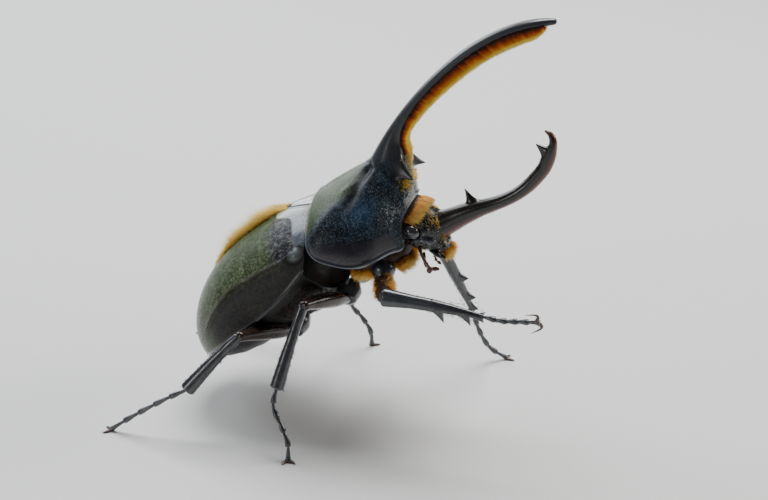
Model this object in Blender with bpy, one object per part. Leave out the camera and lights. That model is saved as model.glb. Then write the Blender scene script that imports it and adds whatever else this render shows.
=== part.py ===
"""A male hercules beetle, life size, as a still model in a raised stance.

The body is three rigid frames pitched up from level: the abdomen with its wing
cases, the prothorax with the great horn, and the head with the lower horn. The
legs are drawn in the beetle's own frame, heading along +X with +Y its left side
and the floor at z = 0. All the sizes are in millimetres, and add_mesh() turns
them into metres.
"""

import math

import bmesh
import bpy
import numpy as np
from mathutils import Matrix, Vector

MM = 0.001
GAP = 0.3  # clear space between neighbouring pieces
FINE = 1e-9

# Where the segments meet, and how far each is pitched up from level
WAIST = (-15.5, 0.0, 46.0)
ABDOMEN_PITCH = 40.0
PROTHORAX_PITCH = 15.0
HEAD_PLACE = (9.0, 0.0, 51.0)
HEAD_PITCH = -25.0

# Wing cases and abdomen, in the abdomen's frame
CASE_FRONT = 4.9
CASE_CREST_X = -16.0
CASE_WIDEST_X = -20.0
CASE_APEX_X = -46.4
CASE_HALF_WIDTH = 20.5
CASE_SHOULDER_HALF_WIDTH = 18.0
CASE_HEIGHT = 17.0
CASE_EDGE_Z = -4.6
CASE_WALL = 0.9
CASE_SEAM = 0.15  # half the clear space between the two wing cases
CASE_FULLNESS = 2.1  # 2 is an ellipse across, and more is squarer
SCUTELLUM_HALF_WIDTH = 3.6
SCUTELLUM_TIP_X = -2.6
SCUTELLUM_WALL = 1.0
FRINGE_FRONT = 1.0
FRINGE_REAR = -28.0
FRINGE_REACH = 2.2
FRINGE_HALF_WIDTH = 0.55
BELLY_DEPTH = 9.2
BELLY_FULLNESS = 1.7
TRUNK_INSET = 2.1
WAIST_X = -2.6
METATHORAX_REAR_X = -16.0
PYGIDIUM_X = -41.0
TRUNK_REAR_X = -43.8
SEGMENTS_BELOW = 5

# Prothorax, in its own frame
HORN_ROOT = (18.8, 19.9)
HORN_ROOT_HANDLE = 20.0
HORN_ROOT_RISE = 47.0
HORN_TIP = (69.9, 43.9)
HORN_TIP_HANDLE = 17.5
HORN_TIP_FALL = 14.0
HORN_ROOT_LEAN = 26.5
HORN_TOOTH_TIP = (29.1, 6.5, 12.7)
HORN_TOOTH_ROOT = (25.4, 2.9, 16.4)
HORN_CUTS = (0.33, 0.68)
HORN_SIDES = 14
BRUSH_START = 0.035
BRUSH_END = 0.95

# The lower horn on the head, in the beetle's own frame
LOWER_HORN = ((12.6, 51.2), (32.2, 63.9), (40.5, 64.4), (41.2, 76.3))
LOWER_HORN_HOOK = ((41.2, 76.3), (41.3, 78.2), (40.6, 78.9), (39.7, 79.2))
LOWER_HORN_CUT = 0.52

# Locks of golden bristles, each with so many sides and its width at three places
LOCK_SIDES = 4
LOCK_TAPER = (0.8, 1.0, 0.62)
LOCK_SEED = 7
HORN_LOCKS = 18  # in each of two rows
HORN_LOCK_SIZE = (3.7, 0.8)  # width and thickness
HORN_LOCK_CORE = 0.45  # the core's share of the bristles' reach
FRINGE_LOCKS = 11  # on each side of the seam
FRINGE_LOCK_SIZE = (3.0, 0.7)
COLLAR_LOCKS = 9
COLLAR_ARC = (32.0, 148.0)  # round the neck from its left side over its top, in degrees
COLLAR_LOCK_SIZE = (3.0, 3.0, 0.7)  # length, width and thickness
CHEST_LOCKS = 10
CHEST_LOCK_SIZE = (3.2, 2.8, 0.8)
MOUTH_LOCKS = 5
MOUTH_LOCK_SIZE = (2.2, 1.5, 0.8)
PAD_SECTIONS = ((7.6, 0.0, 1.9, 0.6), (8.8, -0.1, 2.8, 1.2), (10.0, -0.4, 2.6, 1.2), (10.9, -0.8, 1.5, 0.7))

# Feet: where their middle line ends above the floor, which cuts a flat off each
FOOT_HEIGHT = 0.38

# Eyes, in the head's frame
EYE_PLACE = (-0.9, 6.1, 0.9)


def segment_frame(name, place, pitch, parent):
    """An empty whose +X points along the segment, pitched up by so many degrees."""
    empty = bpy.data.objects.new(name, None)
    bpy.context.scene.collection.objects.link(empty)
    empty.parent = parent
    empty.location = Vector(place) * MM
    empty.rotation_euler = (0.0, -math.radians(pitch), 0.0)
    return empty


def surface_finish(name, colour, roughness, metallic=0.0):
    material = bpy.data.materials.new(name)
    material.use_nodes = True
    shader = material.node_tree.nodes["Principled BSDF"]
    shader.inputs["Base Color"].default_value = (*colour, 1.0)
    shader.inputs["Roughness"].default_value = roughness
    shader.inputs["Metallic"].default_value = metallic
    return material


def through(knots, values, at):
    """A smooth curve through values at the knots, read at the given places."""
    knots, values, at = (np.asarray(v, float) for v in (knots, values, at))
    slopes = np.gradient(values, knots, axis=0)
    i = np.clip(np.searchsorted(knots, at, side="right") - 1, 0, len(knots) - 2)
    step = knots[i + 1] - knots[i]
    t = np.clip((at - knots[i]) / step, 0.0, 1.0)
    if values.ndim > 1:
        t = t[..., None]
        step = step[..., None]
    return (
        (2 * t**3 - 3 * t**2 + 1) * values[i]
        + (t**3 - 2 * t**2 + t) * step * slopes[i]
        + (3 * t**2 - 2 * t**3) * values[i + 1]
        + (t**3 - t**2) * step * slopes[i + 1]
    )


def bezier(handles, t):
    """Points of a cubic curve with four handles."""
    a, b, c, d = (np.asarray(h, float) for h in handles)
    t = np.asarray(t, float)[:, None]
    return (1 - t) ** 3 * a + 3 * t * (1 - t) ** 2 * b + 3 * t**2 * (1 - t) * c + t**3 * d


def unit(v):
    v = np.asarray(v, float)
    return v / np.maximum(np.linalg.norm(v, axis=-1, keepdims=True), FINE)


def oval(centre, across, up, half_width, rise, drop, sides, fullness=2.0, fullness_below=None):
    """A closed ring round a centre: rise is its reach along up, drop its reach the other way.

    A fullness of 2 is an ellipse, and more is squarer.
    """
    a = np.arange(sides) * 2 * math.pi / sides
    power = 2 / np.where(np.sin(a) > -FINE, fullness, fullness_below or fullness)
    x = np.sign(np.cos(a)) * np.abs(np.cos(a)) ** power
    z = np.sign(np.sin(a)) * np.abs(np.sin(a)) ** power
    reach = np.where(z > 0, rise, drop)
    return np.asarray(centre) + half_width * x[:, None] * across + (reach * z)[:, None] * up


def add_mesh(name, points, faces, frame, finish):
    """A mesh object in a frame, faces outward, shaded smooth but for its sharp edges."""
    mesh = bpy.data.meshes.new(name)
    mesh.from_pydata((np.asarray(points, float) * MM).tolist(), [], faces)
    work = bmesh.new()
    work.from_mesh(mesh)
    bmesh.ops.recalc_face_normals(work, faces=work.faces)
    if work.calc_volume(signed=True) < 0:
        bmesh.ops.reverse_faces(work, faces=work.faces)
    work.to_mesh(mesh)
    work.free()
    mesh.materials.append(finish)
    mesh.shade_smooth()
    mesh.set_sharp_from_angle(angle=math.radians(50))
    obj = bpy.data.objects.new(name, mesh)
    bpy.context.scene.collection.objects.link(obj)
    obj.parent = frame
    return obj


def loft(name, rings, frame, finish, start=None, end=None):
    """A closed solid through rings of equal size, its ends drawn to a point each."""
    rings = np.asarray(rings, float)
    count, sides, _ = rings.shape
    first = rings[0].mean(axis=0) if start is None else start
    last = rings[-1].mean(axis=0) if end is None else end
    points = np.vstack([rings.reshape(-1, 3), first, last])
    faces = []
    for i in range(count - 1):
        for j in range(sides):
            k = (j + 1) % sides
            a, b = i * sides + j, i * sides + k
            c, d = a + sides, b + sides
            faces += [(a, b, d), (a, d, c)]
    for j in range(sides):
        k = (j + 1) % sides
        faces.append((k, j, count * sides))
        faces.append(((count - 1) * sides + j, (count - 1) * sides + k, count * sides + 1))
    return add_mesh(name, points, faces, frame, finish)


def carried(path, half_widths, half_depths, sides, flat_way, fullness=2.0):
    """Rings carried along a path. flat_way is the direction that the width lies across."""
    path = np.asarray(path, float)
    along = unit(np.gradient(path, axis=0))
    across = unit(np.asarray(flat_way) - along * (along @ np.asarray(flat_way))[:, None])
    up = np.cross(along, across)
    return np.array([
        oval(p, s, u, w, d, d, sides, fullness)
        for p, s, u, w, d in zip(path, across, up, half_widths, half_depths)
    ])


def bent_path(points, count, bow=(0.0, 0.0, 0.0)):
    """Evenly spaced points along a smooth line through the given ones, bowed at its middle."""
    points = np.asarray(points, float)
    lengths = np.concatenate([[0], np.cumsum(np.linalg.norm(np.diff(points, axis=0), axis=1))])
    u = np.linspace(0, 1, count)
    line = through(lengths / lengths[-1], points, u)
    return line + np.sin(math.pi * u)[:, None] * np.asarray(bow)


def spike(name, root, tip, radius, flatness, frame, finish, sides=5, hook=(0, 0, 0)):
    """A tapered, slightly hooked point such as a tooth, spur or claw."""
    path = bent_path([root, tip], 4, hook)
    radii = radius * np.array([1.0, 0.82, 0.54, 0.24])
    way = unit(np.cross(np.subtract(tip, root), (0.31, 0.22, 0.93)))
    rings = carried(path, radii, radii * flatness, sides, way)
    return loft(name, rings, frame, finish, end=path[-1] + unit(path[-1] - path[-2]) * radius * 0.25)


def lock(root, heading, lean, flat_way, size, frame, finish):
    """A flat tapered lock of bristles, bent towards lean at its tip. size is length, width and thickness."""
    root, heading, lean = (np.asarray(v, float) for v in (root, heading, lean))
    length, width, thickness = size
    share = np.array((-0.12, 0.3, 0.68))
    path = root + length * (share[:, None] * heading + share[:, None] ** 2 * np.sign(share)[:, None] * lean)
    half = width / 2 * np.array(LOCK_TAPER)
    rings = carried(path, half, np.maximum(half * thickness / width, 0.2), LOCK_SIDES, flat_way)
    return loft("lock", rings, frame, finish, end=root + length * (heading + lean))


def enclosed(faces):
    """Six times the volume that faces enclose."""
    total = 0.0
    for face in faces:
        corners = [v.co for v in face.verts]
        for b, c in zip(corners[1:], corners[2:]):
            total += corners[0].dot(b.cross(c))
    return total


def largest_piece(mesh):
    """Keeps the largest closed surface of a mesh, so that hollows and scraps go.

    Returns its volume, or 0 where it isn't closed.
    """
    work = bmesh.new()
    work.from_mesh(mesh)
    left = set(work.faces)
    pieces = []
    while left:
        piece = {left.pop()}
        edge_of = list(piece)
        while edge_of:
            face = edge_of.pop()
            for edge in face.edges:
                for other in edge.link_faces:
                    if other in left:
                        left.discard(other)
                        piece.add(other)
                        edge_of.append(other)
        pieces.append(piece)
    pieces.sort(key=enclosed)
    for piece in pieces[:-1]:
        bmesh.ops.delete(work, geom=list(piece), context="FACES")
    bmesh.ops.triangulate(work, faces=work.faces)
    closed = all(edge.is_manifold for edge in work.edges)
    volume = work.calc_volume(signed=True) if closed and work.faces else 0.0
    work.to_mesh(mesh)
    work.free()
    return volume


def combined(obj, others, operation):
    """Applies one Boolean of a collection of closed pieces to an object.

    The EXACT solver does it, or MANIFOLD where EXACT leaves no closed piece or loses most of it.
    """
    least = largest_piece(obj.data) * (0.999 if operation == "UNION" else 0.05)
    group = bpy.data.collections.new(obj.name + "_group")
    bpy.context.scene.collection.children.link(group)
    for other in others:
        for owner in list(other.users_collection):
            owner.objects.unlink(other)
        group.objects.link(other)
    boolean = obj.modifiers.new(operation.lower(), "BOOLEAN")
    boolean.operation = operation
    boolean.operand_type = "COLLECTION"
    boolean.collection = group
    for solver in ("EXACT", "MANIFOLD"):
        boolean.solver = solver
        bpy.context.view_layer.update()
        evaluated = obj.evaluated_get(bpy.context.evaluated_depsgraph_get())
        mesh = bpy.data.meshes.new_from_object(evaluated)
        if largest_piece(mesh) > least:
            break
    obj.modifiers.clear()
    obj.data = mesh
    for other in others:
        bpy.data.objects.remove(other)
    bpy.data.collections.remove(group)
    mesh.shade_smooth()
    mesh.set_sharp_from_angle(angle=math.radians(50))
    return obj


def grown(obj, by=GAP):
    """A copy of an object whose surface stands out by the gap, to cut its neighbour clear."""
    mesh = obj.data.copy()
    mesh.update()
    normals = np.zeros(len(mesh.vertices) * 3)
    mesh.vertex_normals.foreach_get("vector", normals)
    places = np.zeros_like(normals)
    mesh.vertices.foreach_get("co", places)
    mesh.vertices.foreach_set("co", places + normals * by * 1.15 * MM)
    mesh.update()
    copy = bpy.data.objects.new(obj.name + "_grown", mesh)
    bpy.context.scene.collection.objects.link(copy)
    copy.parent = obj.parent
    copy.matrix_local = obj.matrix_local
    return copy


def clear_of(obj, *neighbours):
    """Cuts an object back to the gap from its neighbours."""
    return combined(obj, [grown(other) for other in neighbours], "DIFFERENCE")


# Wing cases, scutellum and trunk


def case_section(x):
    """Half width, crest height and edge height of the wing cases at x, with 0 width at the apex."""
    x = np.asarray(x, float)
    fore = np.clip((x - CASE_WIDEST_X) / -CASE_WIDEST_X, 0, 2)
    aft = np.clip((CASE_WIDEST_X - x) / (CASE_WIDEST_X - CASE_APEX_X), 0, 1)
    narrowing = (CASE_HALF_WIDTH - CASE_SHOULDER_HALF_WIDTH) * fore**2.4
    half_width = (CASE_HALF_WIDTH - narrowing) * (1 - aft**2.3) ** 0.62
    edge = CASE_EDGE_Z + 3.6 * fore**2 - 2.3 * aft**2
    behind = np.clip((CASE_CREST_X - x) / (CASE_CREST_X - CASE_APEX_X), 0, 1)
    before = np.clip((x - CASE_CREST_X) / (CASE_FRONT - CASE_CREST_X), 0, 1.2)
    crest_fore = CASE_EDGE_Z + CASE_HEIGHT - 3.3 * before**3
    crest_aft = edge + CASE_HEIGHT * np.sqrt(1 - behind**2)
    crest = np.where(x > CASE_CREST_X, crest_fore, crest_aft)
    return half_width, crest, edge


def case_stations(count, front, rear):
    """x of so many stations, closer together where the wing cases turn down behind."""
    reach = CASE_CREST_X - CASE_APEX_X
    first = math.asin(np.clip((CASE_CREST_X - front) / reach, -1, 1))
    last = math.asin(np.clip((CASE_CREST_X - rear) / reach, -1, 1))
    return CASE_CREST_X - reach * np.sin(np.linspace(first, last, count))


def case_surface(along, across):
    """A point grid of one wing case's outer face, from the seam to the side edge."""
    u = np.linspace(0, 1, along)[:, None]
    v = np.linspace(0, 1, across)[None, :]
    x_front = CASE_FRONT - 0.6 * v - 5.6 * v**5
    reach = CASE_CREST_X - CASE_APEX_X
    turn_front = np.arcsin((CASE_CREST_X - x_front) / reach)
    x = CASE_CREST_X - reach * np.sin(turn_front + (math.radians(84.5) - turn_front) * u)
    half_width, crest, edge = case_section(x)
    beside = np.clip((x - SCUTELLUM_TIP_X) / (CASE_FRONT - SCUTELLUM_TIP_X), 0, 1)
    inner = CASE_SEAM + (SCUTELLUM_HALF_WIDTH + GAP) * np.sqrt(beside)
    share = 2 / CASE_FULLNESS
    start = np.arcsin(np.clip(inner / half_width, 0, 1) ** (1 / share))
    b = start + (math.pi / 2 - start) * v
    y = half_width * np.sin(b) ** share
    z = edge + (crest - edge) * np.maximum(np.cos(b), 0) ** share
    callus = np.exp(-(((x + 2.2) / 3.4) ** 2) - ((y - 15.4) / 2.2) ** 2)
    ridge = np.exp(-(((y - 16.0 + 0.03 * (x + 8)) / 1.5) ** 2)) * np.clip((x + 34) / 20, 0, 1)
    raised = 1.0 * callus + 0.3 * ridge
    return np.stack([x, y + 0.5 * raised, z + 0.86 * raised], axis=-1)


def grid_normals(grid):
    """Unit normals of a point grid."""
    down = np.gradient(grid, axis=0)
    over = np.gradient(grid, axis=1)
    return unit(np.cross(over, down))


def shell(name, outer, wall, side, frame, finish):
    """A curved plate: an outer grid, the same grid set in by its wall, and the edges between."""
    normals = grid_normals(outer)
    if normals[outer.shape[0] // 2, outer.shape[1] // 2, 2] < 0:
        normals = -normals
    inner = outer - wall * normals
    rows, columns = outer.shape[:2]
    points = np.vstack([outer.reshape(-1, 3), inner.reshape(-1, 3)]) * (1, side, 1)
    under = rows * columns
    faces = []
    for i in range(rows - 1):
        for j in range(columns - 1):
            a = i * columns + j
            b, c, d = a + 1, a + columns, a + columns + 1
            faces += [(a, b, d), (a, d, c)]
            faces += [(under + a, under + d, under + b), (under + a, under + c, under + d)]
    rim = [j for j in range(columns)]
    rim += [i * columns + columns - 1 for i in range(1, rows)]
    rim += [(rows - 1) * columns + j for j in range(columns - 2, -1, -1)]
    rim += [i * columns for i in range(rows - 2, 0, -1)]
    for a, b in zip(rim, rim[1:] + rim[:1]):
        faces += [(a, under + a, b), (b, under + a, under + b)]
    return add_mesh(name, points, faces, frame, finish)


def seam_line(x, out):
    """Points on a wing case's outer face at x, so far out from its seam edge."""
    x = np.asarray(x, float)
    half_width, crest, edge = case_section(x)
    beside = np.clip((x - SCUTELLUM_TIP_X) / (CASE_FRONT - SCUTELLUM_TIP_X), 0, 1)
    y = CASE_SEAM + (SCUTELLUM_HALF_WIDTH + GAP) * np.sqrt(beside) + out
    z = edge + (crest - edge) * (1 - (y / half_width) ** CASE_FULLNESS) ** (1 / CASE_FULLNESS)
    return np.stack([x, y, z], axis=-1)


def fringe_reach(share):
    """How far the golden fringe stands off the seam, by its share of the way back."""
    return FRINGE_REACH * through((0, 0.12, 0.5, 0.85, 1), (0.5, 1.0, 1.0, 0.8, 0.35), share)


def seam_fringe(side, frame, finish):
    """The locks along one side of the seam, which lie back towards the rear."""
    rng = np.random.default_rng(LOCK_SEED + side)
    share = (np.arange(FRINGE_LOCKS) + 0.5) / FRINGE_LOCKS
    lines = seam_line(FRINGE_FRONT + (FRINGE_REAR - FRINGE_FRONT) * share, FRINGE_HALF_WIDTH)
    width, thickness = FRINGE_LOCK_SIZE
    locks = []
    for root, reach in zip(lines, fringe_reach(share)):
        spread = rng.uniform(-0.12, 0.3)
        size = (reach * rng.uniform(0.95, 1.15), width * rng.uniform(0.9, 1.1), thickness)
        heading = np.array((-0.15, spread * side, 1.0))
        locks.append(lock(root * (1, side, 1), heading, (-0.55, 0, -0.1), (1, 0, 0), size, frame, finish))
    return locks


def make_wing_cases(frame, finish, gold):
    outer = case_surface(19, 10)
    cases = []
    for word, side in (("left", 1), ("right", -1)):
        case = shell("elytron_" + word, outer, CASE_WALL, side, frame, finish)
        cases.append(combined(case, seam_fringe(side, frame, gold), "UNION"))
    return cases


def make_scutellum(frame, finish):
    """The small shield between the bases of the wing cases."""
    u = np.linspace(0, 1, 6)[:, None]
    v = np.linspace(-1, 1, 5)[None, :]
    x = CASE_FRONT + 0.6 + (SCUTELLUM_TIP_X + 0.8 - CASE_FRONT - 0.6) * u + 0 * v
    beside = np.clip((x - SCUTELLUM_TIP_X) / (CASE_FRONT - SCUTELLUM_TIP_X), 0, 1)
    y = (SCUTELLUM_HALF_WIDTH - 0.1) * np.sqrt(beside) * v
    half_width, crest, edge = case_section(x)
    z = edge + (crest - edge) * (1 - (np.abs(y) / half_width) ** CASE_FULLNESS) ** (1 / CASE_FULLNESS)
    return shell("scutellum", np.stack([x, y, z], axis=-1), SCUTELLUM_WALL, 1, frame, finish)


def trunk_ring(x, sides):
    """A ring of the trunk under the wing cases: their vault above and the belly below."""
    x = float(x)
    half_width, crest, edge = (float(v) for v in case_section(x - 0.9))
    half_width = max(half_width - TRUNK_INSET - 0.3, 0.8)
    rise = max(crest - CASE_WALL - 0.6 - edge, 0.6)
    aft = np.clip((METATHORAX_REAR_X - x) / (METATHORAX_REAR_X - CASE_APEX_X), 0, 1)
    drop = BELLY_DEPTH * (1 - aft**2.6) ** 0.7
    fore = np.clip((x - METATHORAX_REAR_X) / -METATHORAX_REAR_X, 0, 1)
    drop += 1.4 * fore
    return oval(
        (x, 0, edge), np.array((0, 1.0, 0)), np.array((0, 0, 1.0)), half_width, rise, drop, sides,
        CASE_FULLNESS, BELLY_FULLNESS,
    )


def make_trunk(frame, dark, brown):
    """Metathorax, abdomen with its plates below, and pygidium, parted by thin cuts."""
    sides = 20

    def stretch(name, front, rear, count, grooves, finish):
        stations = case_stations(count, front, rear)
        rings = []
        for x in stations:
            ring = trunk_ring(x, sides)
            if grooves:
                share = (front - x) / (front - rear) * grooves
                groove = math.exp(-(((share - round(share)) / 0.09) ** 2)) * (0.2 < share < grooves - 0.2)
                below = ring[:, 2] < ring[0, 2] - 0.5
                ring[below, 2] += 0.45 * groove
            rings.append(ring)
        return loft(name, rings, frame, finish)
    metathorax = stretch("metathorax", WAIST_X - GAP, METATHORAX_REAR_X, 5, 0, dark)
    abdomen = stretch(
        "abdomen", METATHORAX_REAR_X - GAP, PYGIDIUM_X, 3 * SEGMENTS_BELOW + 1, SEGMENTS_BELOW, brown
    )
    pygidium = stretch("pygidium", PYGIDIUM_X - GAP, TRUNK_REAR_X, 4, 0, dark)
    return metathorax, abdomen, pygidium


def make_mesothorax(abdomen_frame, finish):
    """The waist, which joins the prothorax to the trunk across their bend."""
    sides = 20
    rear = trunk_ring(WAIST_X, sides)
    turn = math.radians(ABDOMEN_PITCH - PROTHORAX_PITCH)
    front = oval((0.6, 0, -0.6), np.array((0, 1.0, 0)), np.array((0, 0, 1.0)), 12.6, 8.2, 6.6, sides, 2.3)
    front = front @ np.array(Matrix.Rotation(turn, 3, "Y")).T
    rings = [rear + (front - rear) * s for s in np.linspace(0, 1, 4)]
    return loft("mesothorax", rings, abdomen_frame, finish)


# Prothorax with the great horn


def margin_curve(angles):
    """The pronotum's edge, read by the angle round the horn: 0 behind, 180 in front."""
    knots = (0, 22, 42, 56, 66, 80, 98, 114, 128, 142, 151, 160, 168, 180)
    points = (
        (1.7, 0.0, 12.1),
        (1.4, 8.6, 10.2),
        (1.4, 15.0, 6.1),
        (1.9, 17.9, 3.0),
        (3.4, 18.9, 1.0),
        (7.9, 19.3, -1.4),
        (12.6, 18.3, -3.0),
        (16.4, 16.2, -3.1),
        (19.8, 12.4, -2.8),
        (22.8, 8.9, -2.8),
        (22.8, 8.6, 0.6),
        (23.6, 7.6, 3.9),
        (25.6, 5.0, 6.2),
        (26.8, 0.0, 7.2),
    )
    mirrored = [(x, -y, z) for x, y, z in points[1::-1][:1]]
    knots_all = (-22,) + knots + (192,)
    points_all = mirrored + list(points) + [(25.6, -5.0, 6.2)]
    near = through(knots_all, points_all, np.abs(angles))
    return near * np.stack([np.ones_like(angles), np.sign(angles + FINE), np.ones_like(angles)], axis=-1)


def horn_back_line(t):
    """The line along the great horn's back, from its root on the pronotum to its tip."""
    rise, fall = math.radians(HORN_ROOT_RISE), math.radians(-HORN_TIP_FALL)
    root, tip = np.array(HORN_ROOT), np.array(HORN_TIP)
    handles = (
        root,
        root + HORN_ROOT_HANDLE * np.array((math.cos(rise), math.sin(rise))),
        tip - HORN_TIP_HANDLE * np.array((math.cos(fall), math.sin(fall))),
        tip,
    )
    return bezier(handles, np.atleast_1d(t))


def horn_sizes(t):
    """Fore-and-aft depth and side-to-side width of the great horn."""
    knots = (0, 0.05, 0.1, 0.15, 0.22, 0.5, 0.8, 0.93, 1.0)
    depth = through(knots, (9.2, 6.6, 4.7, 3.6, 3.1, 2.8, 2.5, 2.2, 1.5), t)
    width = through(knots, (9.4, 7.6, 6.5, 5.8, 5.2, 4.4, 3.6, 2.8, 1.6), t)
    return depth, width


def horn_axes(t):
    """Back line, direction and downward normal of the great horn's sections."""
    t = np.atleast_1d(np.asarray(t, float))
    back = horn_back_line(t)
    ahead = horn_back_line(t + 0.002) - horn_back_line(t - 0.002)
    angle = np.arctan2(ahead[:, 1], ahead[:, 0]) + np.radians(HORN_ROOT_LEAN) * np.exp(-((t / 0.13) ** 2))
    along = np.stack([np.cos(angle), np.zeros_like(angle), np.sin(angle)], axis=-1)
    down = np.stack([np.sin(angle), np.zeros_like(angle), -np.cos(angle)], axis=-1)
    back = np.stack([back[:, 0], np.zeros_like(angle), back[:, 1]], axis=-1)
    return back, along, down


def horn_rings(stations, angles):
    """Rings of the great horn: angle 0 on its back and 180 on its front."""
    back, along, down = horn_axes(stations)
    depth, width = horn_sizes(stations)
    rings = []
    for p, d, deep, wide in zip(back, down, depth, width):
        centre = p + d * deep / 2
        a = np.radians(angles)
        side = np.sign(np.sin(a)) * np.abs(np.sin(a)) ** 0.92
        front = -np.sign(np.cos(a)) * np.abs(np.cos(a)) ** 0.92
        across = side[:, None] * wide / 2 * np.array((0, 1.0, 0))
        rings.append(centre + across + front[:, None] * deep / 2 * d)
    return np.array(rings)


def pronotum_rings(steps, angles):
    """Rings from the pronotum's edge up over its dome to the horn's root.

    Each point follows a curve that leaves the edge along the dome and arrives
    along the horn.
    """
    edge = margin_curve(angles)
    root = horn_rings([0.0], angles)[0]
    a = np.radians(np.abs(angles))
    behind = np.clip(np.cos(a), 0, 1) ** 1.3
    before = np.clip(-np.cos(a), 0, 1) ** 1.6
    beside = np.sin(a)
    out = np.sign(angles)
    leave = (
        behind[:, None] * np.array((0.93, 0, 0.37))
        + before[:, None] * np.array((0.05, 0, 0.9))
        + beside[:, None] * np.stack([0.10 + 0 * a, 0.16 * out, 0.98 + 0 * a], axis=-1)
    )
    span = np.linalg.norm(root - edge, axis=-1, keepdims=True)
    leave = unit(leave) * span * (1.0 + 0.10 * beside[:, None])
    rise = math.radians(68.0)
    strength = 7.0 + 7.0 * beside[:, None] + 2.0 * behind[:, None]
    arrive = np.array((math.cos(rise), 0, math.sin(rise))) * strength
    rings = []
    for t in steps:
        rings.append(
            (2 * t**3 - 3 * t**2 + 1) * edge
            + (t**3 - 2 * t**2 + t) * leave
            + (3 * t**2 - 2 * t**3) * root
            + (t**3 - t**2) * arrive
        )
    return np.array(rings)


def make_pronotum(frame, finish):
    """The pronotum's shield up to the horn, with the pair of teeth in front of its root.

    It is closed below by its turned-in edge and underside.
    """
    angles = np.linspace(-180, 180, 37)[:-1]
    dome = pronotum_rings(np.linspace(0, 1, 12) ** 1.1, angles)
    edge = dome[0]
    middle = np.array((13.5, 0.0, 0.0))
    turned_in = middle + (edge - middle) * (0.93, 0.95, 0.93) - (0, 0, 0.4)
    floor = np.stack([
        13.5 + (edge[:, 0] - 13.5) * 0.62, edge[:, 1] * 0.72, np.minimum(edge[:, 2], 0) * 0.4 - 3.6
    ], axis=-1)
    rings = np.concatenate([floor[None], turned_in[None], dome])
    pronotum = loft("pronotum", rings, frame, finish, start=(13.5, 0, -5.0))
    teeth = []
    for side in (1, -1):
        root = np.array(HORN_TOOTH_ROOT) * (1, side, 1)
        tip = np.array(HORN_TOOTH_TIP) * (1, side, 1)
        hook = (0.1, 0.5 * side, -0.5)
        teeth.append(spike("tooth", root, tip, 1.9, 0.8, frame, finish, sides=8, hook=hook))
    return combined(pronotum, teeth, "UNION")


def make_prosternum(frame, finish):
    """The underside of the prothorax, with locks before, between and behind the front coxae."""
    across, up = np.array((0, 1.0, 0)), np.array((0, 0, 1.0))
    stations = (6.0, 8.0, 12.0, 16.0, 19.5, 21.0)
    widths = (5.0, 7.6, 8.6, 8.4, 6.6, 4.6)
    drops = (2.0, 3.6, 4.4, 4.2, 3.2, 1.8)
    rings = [
        oval((x, 0, -5.6), across, up, w, 2.4, d, 20, 2.2) for x, w, d in zip(stations, widths, drops)
    ]
    prosternum = loft("prosternum", rings, frame, finish)
    rng = np.random.default_rng(LOCK_SEED)
    before, behind = (20.0, 6.2, 1.0), (9.6, 5.6, -0.35)
    locks = []
    for x, reach_aside, lean in (before, behind):
        for out in np.linspace(-1, 1, CHEST_LOCKS // 2):
            y = out * reach_aside * 0.86
            drop = np.interp(x, stations, drops) * math.sqrt(1 - (y / np.interp(x, stations, widths)) ** 2)
            root = np.array((x + rng.uniform(-0.5, 0.5), y, -5.6 - drop + 0.6))
            heading = unit((0.45 * lean + rng.uniform(-0.1, 0.1), 0.55 * out, -1.0))
            size = np.array(CHEST_LOCK_SIZE) * (rng.uniform(0.85, 1.1), rng.uniform(0.9, 1.1), 1)
            bend, flat_way = (0.35 * lean, 0, 0.1), (0.0, 1.0, 0.4 * out)
            locks.append(lock(root, heading, bend, flat_way, size, frame, finish))
    return combined(prosternum, locks, "UNION")


def horn_piece(name, start, end, count, frame, finish, tipped=False):
    angles = np.linspace(-180, 180, HORN_SIDES + 1)[:-1]
    stations = np.linspace(start, end, count)
    rings = horn_rings(stations, angles)
    point = None
    if tipped:
        back, along, down = horn_axes([end])
        depth, _ = horn_sizes(end)
        point = back[0] + down[0] * depth / 2 + along[0] * 0.7
    return loft(name, rings, frame, finish, end=point)


def brush_reach(t):
    """How far the golden bristles stand below the great horn along its length."""
    knots = (0, 0.1, 0.2, 0.35, 0.6, 0.8, 0.9, BRUSH_END)
    return through(knots, (1.0, 1.3, 1.9, 2.6, 3.0, 3.0, 2.3, 1.0), t)


def brush_rings(start, end, count, sides=6):
    """The golden brush under the great horn, as one smooth ridge."""
    stations = np.linspace(start, end, count)
    back, along, down = horn_axes(stations)
    depth, width = horn_sizes(stations)
    rings = []
    for p, d, deep, wide, reach in zip(back, down, depth, width, brush_reach(stations)):
        centre = p + d * (deep - 0.6)
        half_height = reach * HORN_LOCK_CORE + 0.6
        rings.append(oval(centre, np.array((0, 1.0, 0)), d, wide * 0.36, half_height, 0.5, sides, 2.2))
    return np.array(rings)


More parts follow.
